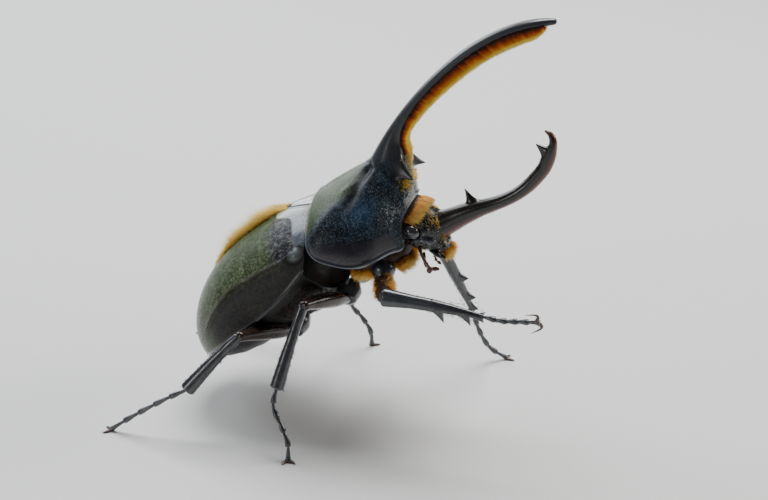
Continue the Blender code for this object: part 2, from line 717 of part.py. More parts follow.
def horn_locks(start, end, frame, finish):
    """Two rows of locks under a length of the great horn, which lean towards its tip."""
    rng = np.random.default_rng(LOCK_SEED)
    length, thickness = HORN_LOCK_SIZE
    locks = []
    for side in (1, -1):
        stations = BRUSH_START + (BRUSH_END - BRUSH_START) * (np.arange(HORN_LOCKS) + 0.5) / HORN_LOCKS
        stations = stations + side * 0.25 * (BRUSH_END - BRUSH_START) / HORN_LOCKS
        draws = rng.uniform(-1, 1, (HORN_LOCKS, 3))
        inside = (stations > start + horn_share(1.2)) & (stations < end - horn_share(2.2))
        back, along, down = horn_axes(stations)
        depth, width = horn_sizes(stations)
        reach = brush_reach(stations)
        for i in np.flatnonzero(inside):
            root = back[i] + down[i] * (depth[i] - 0.2) + np.array((0, side * width[i] * 0.2, 0))
            heading = down[i] + np.array((0, side * (0.18 + 0.08 * draws[i, 0]), 0)) + 0.12 * along[i]
            size = (reach[i] * (1.0 + 0.08 * draws[i, 1]) + 0.2, length * (1 + 0.1 * draws[i, 2]), thickness)
            locks.append(lock(root, heading, 0.3 * along[i], along[i], size, frame, finish))
    return locks


def horn_share(millimetres):
    """So many millimetres as a share of the great horn's length."""
    return millimetres / 62.0


def make_great_horn(frame, dark, gold):
    """The horn of the pronotum in three lengths, each with its stretch of brush."""
    gap = horn_share(GAP)
    bounds = [(gap, HORN_CUTS[0]), (HORN_CUTS[0] + gap, HORN_CUTS[1]), (HORN_CUTS[1] + gap, 1.0)]
    words = ("base", "middle", "tip")
    pieces = []
    for word, (start, end) in zip(words, bounds):
        piece = horn_piece("thoracic_horn_" + word, start, end, 9, frame, dark, end == 1.0)
        first, last = max(start, BRUSH_START), min(end, BRUSH_END)
        inset = horn_share(0.05)
        parts = [loft(word + "_brush", brush_rings(first + inset, last - inset, 5), frame, gold)]
        parts += horn_locks(start, end, frame, gold)
        pieces.append(combined(piece, parts, "UNION"))
    return pieces


# Head with the lower horn


def make_head(frame, finish):
    """The head from its neck to the clypeus, with a raised brow that carries the lower horn."""
    across, up = np.array((0, 1.0, 0)), np.array((0, 0, 1.0))
    knots = (-3.6, -2.0, 0.6, 3.0, 5.2, 7.0, 8.2)
    half = (4.4, 5.6, 6.0, 5.4, 4.4, 3.6, 3.0)
    rise = (4.6, 5.6, 6.2, 6.2, 4.6, 2.2, 0.9)
    drop = (3.0, 4.2, 4.6, 4.2, 3.2, 2.0, 1.2)
    stations = np.linspace(knots[0], knots[-1], 10)
    rings = [
        oval((x, 0, 0.2 - 0.05 * x), across, up, w, r, d, 18, 2.2)
        for x, w, r, d in zip(
            stations, *(through(knots, sizes, stations) for sizes in (half, rise, drop))
        )
    ]
    return loft("head", rings, frame, finish)


def make_lower_horn(root_frame, finish):
    """The horn of the head in two lengths: a tooth on the first and a forked tip on the second."""
    def length(name, start, end, count):
        t = np.linspace(start, end, count)
        line = bezier(LOWER_HORN, t)
        path = np.stack([line[:, 0], np.zeros(count), line[:, 1]], axis=-1)
        knots = (0, 0.12, 0.3, 0.55, 0.8, 1.0)
        deep = through(knots, (3.9, 3.3, 2.5, 1.95, 1.75, 1.7), t)
        wide = through(knots, (3.1, 2.6, 2.1, 1.8, 1.6, 1.45), t)
        return path, deep, wide
    gap = GAP / 48.0
    path, deep, wide = length("base", 0.0, LOWER_HORN_CUT - gap, 9)
    base = loft("cephalic_horn_base", carried(path, wide, deep, 10, (0, 1, 0)), root_frame, finish)
    tooth = spike(
        "basal_tooth", (23.0, 0, 59.4), (20.1, 0, 63.0), 1.7, 0.7, root_frame, finish, hook=(-0.5, 0, -0.3)
    )
    combined(base, [tooth], "UNION")
    path, deep, wide = length("tip", LOWER_HORN_CUT, 1.0, 8)
    hook = bezier(LOWER_HORN_HOOK, np.array((0.3, 0.65, 1.0)))
    hook_path = np.stack([hook[:, 0], np.zeros(3), hook[:, 1]], axis=-1)
    path = np.vstack([path, hook_path])
    deep = np.concatenate([deep, (1.35, 0.85, 0.35)])
    wide = np.concatenate([wide, (1.15, 0.8, 0.35)])
    tip = loft("cephalic_horn_tip", carried(path, wide, deep, 10, (0, 1, 0)), root_frame, finish)
    fork = spike(
        "fork", (40.6, 0, 73.2), (37.0, 0, 75.8), 1.25, 0.8, root_frame, finish, hook=(-0.1, 0, -0.45)
    )
    combined(tip, [fork], "UNION")
    return base, tip


def ball(name, centre, radii, frame, finish, sides=10, count=6):
    """An oval ball."""
    a = np.linspace(-math.pi / 2, math.pi / 2, count + 2)[1:-1]
    across, up = np.array((0, 1.0, 0)), np.array((0, 0, 1.0))
    rings = [
        oval(
            np.array(centre) + (radii[0] * math.sin(s), 0, 0), across, up,
            radii[1] * math.cos(s), radii[2] * math.cos(s), radii[2] * math.cos(s), sides,
        )
        for s in a
    ]
    centre = np.array(centre)
    return loft(name, rings, frame, finish, centre - (radii[0], 0, 0), centre + (radii[0], 0, 0))


def make_eyes(frame, finish):
    return [
        ball("eye_" + word, np.array(EYE_PLACE) * (1, side, 1), (2.1, 1.55, 1.75), frame, finish)
        for word, side in (("left", 1), ("right", -1))
    ]


def make_neck(frame, finish):
    """The golden collar between the head and the prothorax."""
    across, up = np.array((0, 1.0, 0)), np.array((0, 0, 1.0))
    stations = (-8.5, -6.5, -4.4, -2.2, -0.4)
    sizes = ((3.6, 3.2, 3.0), (4.8, 4.8, 3.8), (5.6, 6.2, 4.2), (5.4, 6.7, 3.6), (3.8, 6.6, 1.0))
    rings = [
        oval((x, 0, 0.9), across, up, w, r, d, 14, 2.1) for x, (w, r, d) in zip(stations, sizes)
    ]
    neck = loft("neck", rings, frame, finish)
    rng = np.random.default_rng(LOCK_SEED + 5)
    locks = []
    x, (half_width, rise, _) = stations[2], sizes[2]
    for turn in np.radians(np.linspace(COLLAR_ARC[0], COLLAR_ARC[1], COLLAR_LOCKS)):
        out = np.array((0, math.cos(turn), math.sin(turn)))
        root = np.array((x + 1.0, half_width * 0.93 * out[1], 0.9 + rise * 0.97 * out[2]))
        size = np.array(COLLAR_LOCK_SIZE) * (rng.uniform(0.9, 1.15), rng.uniform(0.9, 1.1), 1)
        heading = unit((1.0, 0, 0) + 0.42 * out)
        locks.append(lock(root, heading, -0.12 * out, np.cross(out, (1, 0, 0)), size, frame, finish))
    return combined(neck, locks, "UNION")


def make_mouthparts(frame, dark, red, gold):
    """Mandibles, palps, antennae and the golden brush of the mouth."""
    pieces = []
    for word, side in (("left", 1), ("right", -1)):
        def placed(*points):
            return [np.array(p, float) * (1, side, 1) for p in points]
        root, tip = placed((5.6, 2.3, -2.2), (9.6, 1.9, -3.0))
        pieces.append(spike(
            "mandible_" + word, root, tip, 1.5, 0.7, frame, dark, sides=6, hook=(0, 0.9 * side, 0)
        ))
        path = bent_path(placed((4.0, 3.3, -3.8), (5.2, 4.3, -5.4), (7.2, 4.4, -6.2), (9.0, 3.9, -5.6)), 8)
        radii = np.array((0.45, 0.5, 0.42, 0.5, 0.42, 0.5, 0.55, 0.35))
        pieces.append(loft("palp_" + word, carried(path, radii, radii, 6, (0, 1, 0)), frame, red))
        path = bent_path(placed((2.6, 4.8, -2.4), (4.0, 6.5, -3.2), (6.0, 7.0, -4.2), (7.4, 6.6, -5.8)), 10)
        radii = np.array((0.5, 0.55, 0.4, 0.36, 0.36, 0.36, 0.55, 0.85, 0.85, 0.5))
        pieces.append(loft("antenna_" + word, carried(path, radii * 0.75, radii, 6, (0, 1, 0)), frame, red))
    tuft = [
        oval((x, 0, z), np.array((0, 1.0, 0)), np.array((0, 0, 1.0)), w, d, d, 8)
        for x, z, w, d in PAD_SECTIONS
    ]
    brush = loft("mouth_brush", tuft, frame, gold)
    locks = []
    for out in np.linspace(-1, 1, MOUTH_LOCKS):
        root = np.array((9.7 - 0.5 * out**2, 2.2 * out, -0.5))
        heading = unit((1.0, 0.45 * out, -0.1))
        locks.append(lock(root, heading, (0, 0, -0.3), (0, 1, 0), MOUTH_LOCK_SIZE, frame, gold))
    pieces.append(combined(brush, locks, "UNION"))
    return pieces


# Legs


def limb(name, points, bow, profile, flatness, flat_way, frame, finish, count=8, sides=9):
    """A leg segment along a line through points; profile gives its half thickness."""
    path = bent_path(points, count, bow)
    knots = np.linspace(0, 1, len(profile))
    half = through(knots, profile, np.linspace(0, 1, count))
    rings = carried(path, half, half * flatness, sides, flat_way)
    end = path[-1] + unit(path[-1] - path[-2]) * half[-1] * 0.45
    start = path[0] - unit(path[1] - path[0]) * half[0] * 0.45
    return loft(name, rings, frame, finish, start, end)


def floor_block(above, frame, finish):
    """A block whose top is the floor, under a foot, to cut its flat."""
    reach, depth = 8.0, 4.0
    x, y = above[:2]
    corners = ((-1, -1), (1, -1), (1, 1), (-1, 1))
    ring = np.array([(x + reach * i, y + reach * j, 0) for i, j in corners])
    return loft("floor_block", [ring - (0, 0, depth), ring], frame, finish)


def make_tarsus(name, points, claws, frame, finish, grounded):
    """Five short segments that swell at their ends, and a pair of hooked claws.

    A grounded foot is cut level at the floor, which leaves its small flat.
    """
    path = bent_path(points, 31)
    joints = [i for i in range(31) if i % 6 in (0, 5) or i == 1]
    half = np.array([{5: 0.78, 0: 0.66, 1: 0.50}[i % 6] for i in joints])
    half[0], half[-1] = 0.55, 0.8
    foot = loft(name, carried(path[joints], half, half, 6, (0, 0.3, 1)), frame, finish)
    hooks = []
    for root, tip, hook in claws:
        hooks.append(spike("claw", root, tip, 0.62, 0.8, frame, finish, sides=4, hook=hook))
    combined(foot, hooks, "UNION")
    if grounded:
        combined(foot, [floor_block(path[-1], frame, finish)], "DIFFERENCE")
    return foot


def make_leg(word, coxa, knee, ankle, foot, claws, sizes, teeth, frame, finishes, grounded):
    """One leg: coxa, femur, tibia with its teeth and spurs, and tarsus with its claws.

    coxa is a pair of points, knee and ankle are points, and foot is the rest of
    the tarsus's line. sizes are the half thicknesses of femur and tibia.
    """
    dark, brown = finishes
    leg = []
    coxa_root, coxa_end = (np.array(p, float) for p in coxa)
    knee, ankle = np.array(knee, float), np.array(ankle, float)
    thigh, shin = sizes
    coxa_half = (thigh * 1.1, thigh * 1.25, thigh * 0.95)
    leg.append(limb(
        "coxa_" + word, [coxa_root, coxa_end], (0, 0, 0), coxa_half, 0.9,
        (1, 0, 0.3), frame, dark, count=5, sides=10,
    ))
    thigh_way = unit(knee - coxa_end)
    thigh_half = (thigh * 0.75, thigh * 1.05, thigh * 1.0, thigh * 0.85, thigh * 0.72)
    femur = limb(
        "femur_" + word, [coxa_end + thigh_way * 0.4, knee], (0, 0, 0.5),
        thigh_half, 0.72, (1, 0, 0.4), frame, brown,
    )
    shin_way = unit(ankle - knee)
    shin_half = (shin * 0.72, shin * 0.8, shin * 0.92, shin * 1.05, shin * 1.22)
    tibia = limb(
        "tibia_" + word, [knee + shin_way * 0.2, ankle], (0, 0, 0.35),
        shin_half, 0.8, (0, 0.3, 1), frame, dark, count=8,
    )
    spurs = []
    for share, out, length, radius in teeth:
        root = knee + (ankle - knee) * share
        tip = root + np.array(out) * length + shin_way * length * 0.45
        spurs.append(spike("spur", root, tip, radius, 0.8, frame, dark, hook=np.array(out) * 0.15))
    toe_line = [ankle + shin_way * 0.3] + list(foot)
    tarsus = make_tarsus("tarsus_" + word, toe_line, claws, frame, dark, grounded)
    clear_of(tarsus, tibia)
    combined(tibia, spurs, "UNION")
    return leg + [femur, tibia]


def claw_pair(foot, heading, spread, length, grounded):
    """Two hooked claws at a foot's end, on either side of where it points."""
    foot, heading = np.array(foot, float), unit(np.array(heading, float))
    side = unit(np.cross(heading, (0, 0, 1.0)))
    claws = []
    for s in (1, -1):
        tip = foot + heading * length * 0.75 + side * s * spread
        if grounded:
            tip[2] = 0.15
        claws.append((foot - heading * 0.3, tip, (side * s * 0.55 + heading * 0.25)))
    return claws


def make_legs(frame, finishes):
    """All six legs. Five stand on the floor, and the right front one reaches forward."""
    legs = {}
    front_teeth = [
        (0.57, (0.10, 0, -0.99), 4.2, 1.25),
        (0.83, (0.15, 0, -0.98), 3.6, 1.15),
        (0.97, (0.35, 0, -0.93), 2.4, 0.95),
        (0.96, (0.2, 0.9, 0.2), 2.0, 0.75),
    ]
    legs["front_right"] = make_leg(
        "front_right",
        ((1.4, -6.2, 43.4), (2.2, -8.8, 40.4)), (6.2, -23.5, 42.1), (30.7, -26.0, 41.0),
        [(35.0, -26.4, 40.7), (40.0, -26.8, 41.2), (44.2, -27.0, 41.6)],
        [
            ((43.6, -27.2, 41.9), (40.8, -27.9, 43.4), (1.5, -0.2, 1.0)),
            ((43.8, -26.8, 41.4), (42.0, -25.8, 38.0), (1.7, 0.2, 0.1)),
        ],
        (2.5, 1.75), front_teeth, frame, finishes, False,
    )
    foot_end = (25.5, 35.0, FOOT_HEIGHT)
    legs["front_left"] = make_leg(
        "front_left",
        ((1.4, 6.2, 43.4), (2.2, 8.8, 40.4)), (8.4, 22.5, 38.5), (17.0, 29.0, 16.2),
        [(18.4, 30.4, 10.4), (21.2, 32.6, 4.2), foot_end],
        claw_pair(foot_end, (0.8, 0.5, 0), 1.5, 2.4, True),
        (2.5, 1.75),
        [
            (0.57, (0.9, 0.1, 0.42), 3.6, 1.25), (0.83, (0.9, 0.1, 0.42), 3.2, 1.15),
            (0.97, (0.9, 0.1, 0.3), 2.4, 0.95), (0.96, (-0.6, -0.6, 0.2), 2.0, 0.75),
        ],
        frame, finishes, True,
    )
    spurs = [
        (0.55, (-0.9, 0, 0.3), 1.6, 0.8), (0.96, (0.7, 0, -0.2), 3.0, 0.75), (0.95, (-0.7, 0, 0.1), 2.4, 0.75),
    ]
    for word, side, shift in (("right", -1, 0.0), ("left", 1, 3.0)):
        foot_end = (-15.3 + shift, side * 34.0, FOOT_HEIGHT)
        legs["middle_" + word] = make_leg(
            "middle_" + word,
            ((-7.6, side * 4.6, 35.6), (-7.2, side * 8.2, 33.4)),
            (-14.2 + shift, side * 23.0, 37.2), (-19.4 + shift, side * 29.0, 17.6),
            [
                (-20.0 + shift, side * 30.4, 13.2), (-17.8 + shift, side * 32.0, 9.4),
                (-15.6 + shift, side * 33.2, 4.8), foot_end,
            ],
            claw_pair(foot_end, (0.35, side * 0.95, 0), 1.5, 2.4, True),
            (2.6, 1.6), spurs, frame, finishes, True,
        )
        foot_end = (-63.4 + shift, side * 30.2, FOOT_HEIGHT)
        legs["hind_" + word] = make_leg(
            "hind_" + word,
            ((-20.6, side * 5.0, 25.6), (-21.0, side * 9.0, 23.4)),
            (-30.3 + shift, side * 25.0, 27.9), (-42.6 + shift, side * 29.0, 14.0),
            [
                (-47.2 + shift, side * 29.4, 11.4), (-52.8 + shift, side * 29.8, 7.9),
                (-58.4 + shift, side * 30.0, 4.1), foot_end,
            ],
            claw_pair(foot_end, (-1, side * 0.1, 0), 1.5, 2.4, True),
            (2.6, 1.7), spurs, frame, finishes, True,
        )
    return legs


def fit_leg(leg, bodies):
    """Cuts each segment back to the gap from the one that carries it."""
    coxa, femur, tibia = leg
    clear_of(coxa, *bodies)
    clear_of(femur, coxa, *bodies)
    clear_of(tibia, femur)


def stand_on_floor(root):
    """Moves the beetle so that the middle of its box's underside is at the origin."""
    bpy.context.view_layer.update()
    corners = np.array([
        obj.matrix_world @ v.co for obj in bpy.data.objects if obj.type == "MESH" for v in obj.data.vertices
    ])
    low, high = corners.min(axis=0), corners.max(axis=0)
    root.location = (-(low[0] + high[0]) / 2, -(low[1] + high[1]) / 2, -low[2])
    bpy.context.view_layer.update()


def main():
    for obj in list(bpy.data.objects):
        bpy.data.objects.remove(obj)
    black = surface_finish("black_chitin", (0.012, 0.012, 0.014), 0.28)
    olive = surface_finish("olive_wing_case", (0.13, 0.15, 0.06), 0.42)
    brown = surface_finish("dark_brown_chitin", (0.03, 0.014, 0.01), 0.32)
    red = surface_finish("reddish_mouthparts", (0.09, 0.02, 0.012), 0.35)
    gold = surface_finish("golden_bristle", (0.72, 0.34, 0.05), 0.7)
    eye = surface_finish("eye", (0.03, 0.03, 0.035), 0.12)

    root = segment_frame("beetle", (0, 0, 0), 0.0, None)
    abdomen_frame = segment_frame("abdomen_frame", WAIST, ABDOMEN_PITCH, root)
    prothorax_frame = segment_frame("prothorax_frame", WAIST, PROTHORAX_PITCH, root)
    head_frame = segment_frame("head_frame", HEAD_PLACE, HEAD_PITCH, root)

    make_wing_cases(abdomen_frame, olive, gold)
    make_scutellum(abdomen_frame, black)
    metathorax, abdomen, pygidium = make_trunk(abdomen_frame, black, brown)
    mesothorax = make_mesothorax(abdomen_frame, black)

    pronotum = make_pronotum(prothorax_frame, black)
    prosternum = make_prosternum(prothorax_frame, gold)
    clear_of(prosternum, pronotum)
    clear_of(mesothorax, pronotum, prosternum)
    horn = make_great_horn(prothorax_frame, black, gold)
    clear_of(horn[0], pronotum)

    head = make_head(head_frame, black)
    clear_of(head, pronotum, prosternum)
    neck = make_neck(head_frame, gold)
    clear_of(neck, pronotum, prosternum, head)
    for eye_piece in make_eyes(head_frame, eye):
        clear_of(eye_piece, head)
    lower_base, lower_tip = make_lower_horn(root, black)
    clear_of(lower_base, head)
    mouthparts = make_mouthparts(head_frame, black, red, gold)
    for piece in mouthparts:
        clear_of(piece, head)
    clear_of(mouthparts[-1], lower_base, *[p for p in mouthparts if p.name.startswith("mandible")])

    legs = make_legs(root, (black, brown))
    front_bodies = (pronotum, prosternum)
    rear_bodies = (metathorax, abdomen, mesothorax, prosternum)
    for word, leg in legs.items():
        fit_leg(leg, front_bodies if word.startswith("front") else rear_bodies)
    stand_on_floor(root)


main()
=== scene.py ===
"""Dresses a life-size male hercules beetle: its shell plates, horns, head, legs and golden bristles.

Shapes are worked out in millimetres in the frame of the segment that carries
them, with +X forward, +Y to the beetle's left and +Z up. placed() carries them
into the model's frame, in metres.
"""

import math

import bpy
import numpy as np
from bpy.props import FloatProperty, FloatVectorProperty, IntProperty, PointerProperty
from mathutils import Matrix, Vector


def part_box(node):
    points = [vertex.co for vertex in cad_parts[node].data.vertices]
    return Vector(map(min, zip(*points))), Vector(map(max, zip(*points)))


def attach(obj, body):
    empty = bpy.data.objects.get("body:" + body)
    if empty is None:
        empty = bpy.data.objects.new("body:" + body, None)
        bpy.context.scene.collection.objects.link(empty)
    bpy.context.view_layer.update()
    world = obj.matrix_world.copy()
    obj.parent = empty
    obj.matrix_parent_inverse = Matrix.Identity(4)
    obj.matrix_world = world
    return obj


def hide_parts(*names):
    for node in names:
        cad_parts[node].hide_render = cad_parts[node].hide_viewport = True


bl_info = {
    "name": "Hercules beetle",
    "version": (1, 0, 0),
    "blender": (4, 5, 0),
    "location": "View3D > Sidebar > Beetle",
    "description": "Shell plates, horns, legs and bristles of a hercules beetle over its packed solids",
    "category": "Add Mesh",
}

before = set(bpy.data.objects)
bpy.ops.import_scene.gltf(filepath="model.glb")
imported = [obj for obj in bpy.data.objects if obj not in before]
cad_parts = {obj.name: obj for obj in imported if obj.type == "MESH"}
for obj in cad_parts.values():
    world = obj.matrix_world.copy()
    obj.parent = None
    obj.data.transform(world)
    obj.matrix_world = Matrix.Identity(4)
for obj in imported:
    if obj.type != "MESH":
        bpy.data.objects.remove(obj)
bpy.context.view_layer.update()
MM = 0.001
TINY = 1e-9

# Segment frames: where each starts in the beetle's own frame, and its pitch up from level
WAIST = (-15.5, 0.0, 46.0)
SEGMENTS = {
    "beetle": ((0.0, 0.0, 0.0), 0.0),
    "abdomen": (WAIST, 40.0),
    "prothorax": (WAIST, 15.0),
    "head": ((9.0, 0.0, 51.0), -25.0),
}
SCUTELLUM_MIDDLE = (-20.388, 0.0, 54.459)

# Wing cases, in the abdomen's frame
CASE_FRONT = 4.9
CASE_CREST_X = -16.0
CASE_WIDEST_X = -20.0
CASE_APEX_X = -46.4
CASE_REAR_TURN = 84.5  # degrees of the vault's last row; the apex is at 90
CASE_HALF_WIDTH = 20.5
CASE_SHOULDER_HALF_WIDTH = 18.0
CASE_HEIGHT = 17.0
CASE_EDGE_Z = -4.6
CASE_WALL = 0.9
CASE_SEAM = 0.15
CASE_FULLNESS = 2.1
SCUTELLUM_HALF_WIDTH = 3.6
SCUTELLUM_TIP_X = -2.6
SCUTELLUM_GAP = 0.3
CALLUS = (-0.2, 18.0, 3.0)

# How far the ridge runs from the side edge, by x, and where the pale painted reflection in front ends, by y
RIDGE = (
    (-40.0, -34.0, -28.0, -22.7, -17.3, -13.3, -9.0, -5.7, -2.5, 2.0),
    (3.0, 6.5, 9.0, 10.5, 10.8, 10.6, 9.8, 8.9, 8.2, 7.6),
)
BAND_BORDER = ((0, 3, 5.4, 7.5, 9.9, 13, 16.8, 19), (-5.6, -5.0, -4.2, -0.8, 0.6, 0.5, -0.2, -1.2))

# Trunk, in the abdomen's frame
BELLY_DEPTH = 9.2
BELLY_FULLNESS = 1.7
TRUNK_INSET = 2.4
METATHORAX_REAR_X = -16.0
PYGIDIUM_X = -41.0
TRUNK_FRONT_X = -2.6
TRUNK_REAR_X = -43.8
BELLY_PLATES = 5

# Prothorax and great horn, in the prothorax's frame, with angles in degrees
PRONOTUM_MIDDLE_X = 13.5
DOME_RISE = 68.0
HORN_ROOT = (18.8, 19.9)
HORN_ROOT_HANDLE = 20.0
HORN_ROOT_RISE = 47.0
HORN_TIP = (69.9, 43.9)
HORN_TIP_HANDLE = 17.5
HORN_TIP_FALL = 14.0
HORN_ROOT_LEAN = 26.5
HORN_TOOTH_TIP = (29.1, 6.5, 12.7)
HORN_TOOTH_FOOT = (25.9, 4.3, 14.2)
HORN_KEEL = ((26.0, 4.4, 14.2), (26.6, 4.1, 18.0), (29.0, 3.0, 23.0))
CAP_STEPS = 7
BRUSH_START = 0.02
BRUSH_END = 0.955

# Lower horn, in the beetle's own frame
LOWER_HORN = (
    (8.7, 49.7, 3.2, 3.6), (10.6, 50.4, 3.8, 4.0), (12.6, 51.3, 3.9, 3.7), (15.2, 52.8, 3.4, 3.1),
    (17.8, 54.3, 3.0, 2.7), (20.0, 55.6, 2.7, 2.5), (22.5, 56.9, 2.4, 2.3), (24.4, 57.8, 2.1, 2.1),
    (26.9, 58.85, 1.85, 1.9), (30.4, 60.55, 1.68, 1.75), (33.3, 62.4, 1.65, 1.65), (35.8, 64.6, 1.7, 1.55),
    (37.9, 67.1, 1.72, 1.5), (39.6, 69.6, 1.72, 1.45), (40.5, 72.1, 1.75, 1.4), (41.1, 74.0, 1.5, 1.3),
    (41.5, 75.4, 1.1, 1.15), (41.5, 76.6, 0.95, 1.0), (40.9, 78.05, 0.7, 0.75), (39.6, 78.95, 0.28, 0.28),
)
LOWER_HORN_TEETH = (
    ((22.0, 0.0, 59.3), (20.0, 0.0, 63.1), (0.9, 0.0, 0.43), (2.5, 1.9, 1.2), 2.2),
    ((39.4, 0.0, 74.1), (37.0, 0.0, 75.8), (0.2, 0.0, 1.0), (1.3, 1.9, 1.3), 1.6),
)

# Head, in its own frame, and the height of the feet
EYE_PLACE = (-0.9, 6.1, 0.9)
EYE_BRIDGE = ((4.6, 4.9, 0.4), (2.6, 5.7, 0.2), (1.2, 6.3, -0.2), (0.2, 6.6, -1.2))
FOOT_HEIGHT = 0.38


# Curves and surfaces


def vectors(*parts):
    """Points or directions from their coordinates, where a plain number serves for all of them."""
    return np.stack(np.broadcast_arrays(*parts), axis=-1)


def floats(*given):
    """Each of the given rows as an array of numbers."""
    return [np.asarray(v, float) for v in given]


def unit(v):
    v = np.asarray(v, float)
    return v / np.maximum(np.linalg.norm(v, axis=-1, keepdims=True), TINY)


def smooth(low, high, x):
    """Rises from 0 at low to 1 at high along 3t^2 - 2t^3."""
    t = np.clip((np.asarray(x, float) - low) / (high - low), 0, 1)
    return t * t * (3 - 2 * t)


def bump(x, middle, width):
    """A bell: e to the minus square of the distance from its middle over its width."""
    return np.exp(-(((np.asarray(x, float) - middle) / width) ** 2))


def cubic_piece(t, start, leave, end, arrive, step=1.0):
    """The cubic from start to end that leaves and arrives with the given slopes over a step."""
    return (
        (2 * t**3 - 3 * t**2 + 1) * start
        + (t**3 - 2 * t**2 + t) * step * leave
        + (3 * t**2 - 2 * t**3) * end
        + (t**3 - t**2) * step * arrive
    )


def through(knots, values, at):
    """A smooth curve through values at the knots: cubic pieces that share slopes at the knots."""
    knots, values, at = floats(knots, values, at)
    slopes = np.gradient(values, knots, axis=0)
    i = np.clip(np.searchsorted(knots, at, side="right") - 1, 0, len(knots) - 2)
    step = knots[i + 1] - knots[i]
    t = np.clip((at - knots[i]) / step, 0.0, 1.0)
    if values.ndim > 1:
        t, step = t[..., None], step[..., None]
    return cubic_piece(t, values[i], slopes[i], values[i + 1], slopes[i + 1], step)


def bezier(handles, t):
    """Points of a cubic curve with four handles."""
    a, b, c, d = floats(*handles)
    t = np.asarray(t, float)[:, None]
    return (1 - t) ** 3 * a + 3 * t * (1 - t) ** 2 * b + 3 * t**2 * (1 - t) * c + t**3 * d


def lengths_along(points):
    """How far each point lies along the line through them."""
    return np.concatenate([[0], np.cumsum(np.linalg.norm(np.diff(points, axis=0), axis=1))])


def bent_path(points, count, bow=(0.0, 0.0, 0.0)):
    """Evenly spaced points along a smooth line through the given ones, bowed by a sine at its middle."""
    points = np.asarray(points, float)
    lengths = lengths_along(points)
    u = np.linspace(0, 1, count)
    return through(lengths / lengths[-1], points, u) + np.sin(math.pi * u)[:, None] * np.asarray(bow)


def along_normals(grid, wrap=False):
    """Unit normals of a point grid: the cross product of its two directions."""
    down = np.gradient(grid, axis=0)
    if wrap:
        over = (np.roll(grid, -1, axis=1) - np.roll(grid, 1, axis=1)) / 2
    else:
        over = np.gradient(grid, axis=1)
    return unit(np.cross(over, down))


def turns(sides):
    """So many even steps of a full turn."""
    return np.arange(sides) * 2 * math.pi / sides


def outer_normals(rings):
    """Unit normals of closed rings, away from their middles."""
    normals = along_normals(rings, wrap=True)
    k = len(rings) // 3
    return normals * np.sign((normals[k] * (rings[k] - rings[k].mean(axis=0))).sum())


def rounded(angles, fullness):
    """Across and up shares of a closed outline: cosine and sine, each to the power 2 / fullness."""
    c, s = np.cos(angles), np.sin(angles)
    power = 2 / fullness
    return np.sign(c) * np.abs(c) ** power, np.sign(s) * np.abs(s) ** power


def swept(path, half_widths, half_depths, flat_way, sides=24, fullness=2.0):
    """A closed outline carried along a path: rings of half width across and half depth up.

    Across is flat_way less its share along the path, and up is their cross product.
    """
    path, flat_way, half_widths, half_depths = floats(path, flat_way, half_widths, half_depths)
    along = unit(np.gradient(path, axis=0))
    across = unit(flat_way - along * (along @ flat_way)[:, None])
    up = np.cross(along, across)
    x, z = rounded(turns(sides), fullness)
    wide = half_widths[:, None, None] * x[None, :, None] * across[:, None, :]
    deep = half_depths[:, None, None] * z[None, :, None] * up[:, None, :]
    return path[:, None, :] + wide + deep


# Forms: closed point sets with their faces, maps and painted values


def grid_faces(rows, columns):
    """Corner numbers of the quads between closed rings, and the map place of each corner."""
    i = np.arange(rows - 1)[:, None]
    j = np.arange(columns)[None, :]
    k = (j + 1) % columns
    quads = vectors(i * columns + j, i * columns + k, (i + 1) * columns + k, (i + 1) * columns + j)
    u = vectors(j + 0 * i, j + 1, j + 1, j) / columns
    v = vectors(i + 0 * j, i, i + 1, i + 1) / (rows - 1)
    return quads.reshape(-1, 4), vectors(u, v).reshape(-1, 4, 2)


def turned_round(form):
    """The same form with its faces' corners in the opposite order."""
    return {**form, **{key: form[key][:, ::-1] for key in ("quads", "tris", "quad_map", "tri_map")}}


def outward(form):
    """Turns a closed form's faces round where the volume that they enclose is negative."""
    points = form["points"]
    volume = 0.0
    for key in ("quads", "tris"):
        faces = form[key]
        for second in range(1, faces.shape[1] - 1):
            a, b, c = points[faces[:, 0]], points[faces[:, second]], points[faces[:, second + 1]]
            volume += np.einsum("ij,ij->", a, np.cross(b, c))
    return turned_round(form) if volume < 0 else form


def closed_tube(grid, start, end, paint=None):
    """A form from rings of points, each end drawn to a point."""
    rows, columns, _ = grid.shape
    points = np.vstack([grid.reshape(-1, 3), start, end])
    quads, quad_map = grid_faces(rows, columns)
    j = np.arange(columns)
    k = (j + 1) % columns
    first = vectors(k, j, rows * columns)
    base = (rows - 1) * columns
    final = vectors(base + j, base + k, rows * columns + 1)
    flat = vectors(j / columns, (j + 1) / columns, (j + 0.5) / columns)
    tri_map = np.concatenate([vectors(flat[:, [1, 0, 2]], 0), vectors(flat, 1)])
    painted = {}
    for name, values in (paint or {}).items():
        painted[name] = np.concatenate([values.ravel(), [values[0].mean(), values[-1].mean()]])
    return outward({
        "points": points, "quads": quads, "tris": np.vstack([first, final]),
        "quad_map": quad_map, "tri_map": tri_map, "paint": painted,
    })


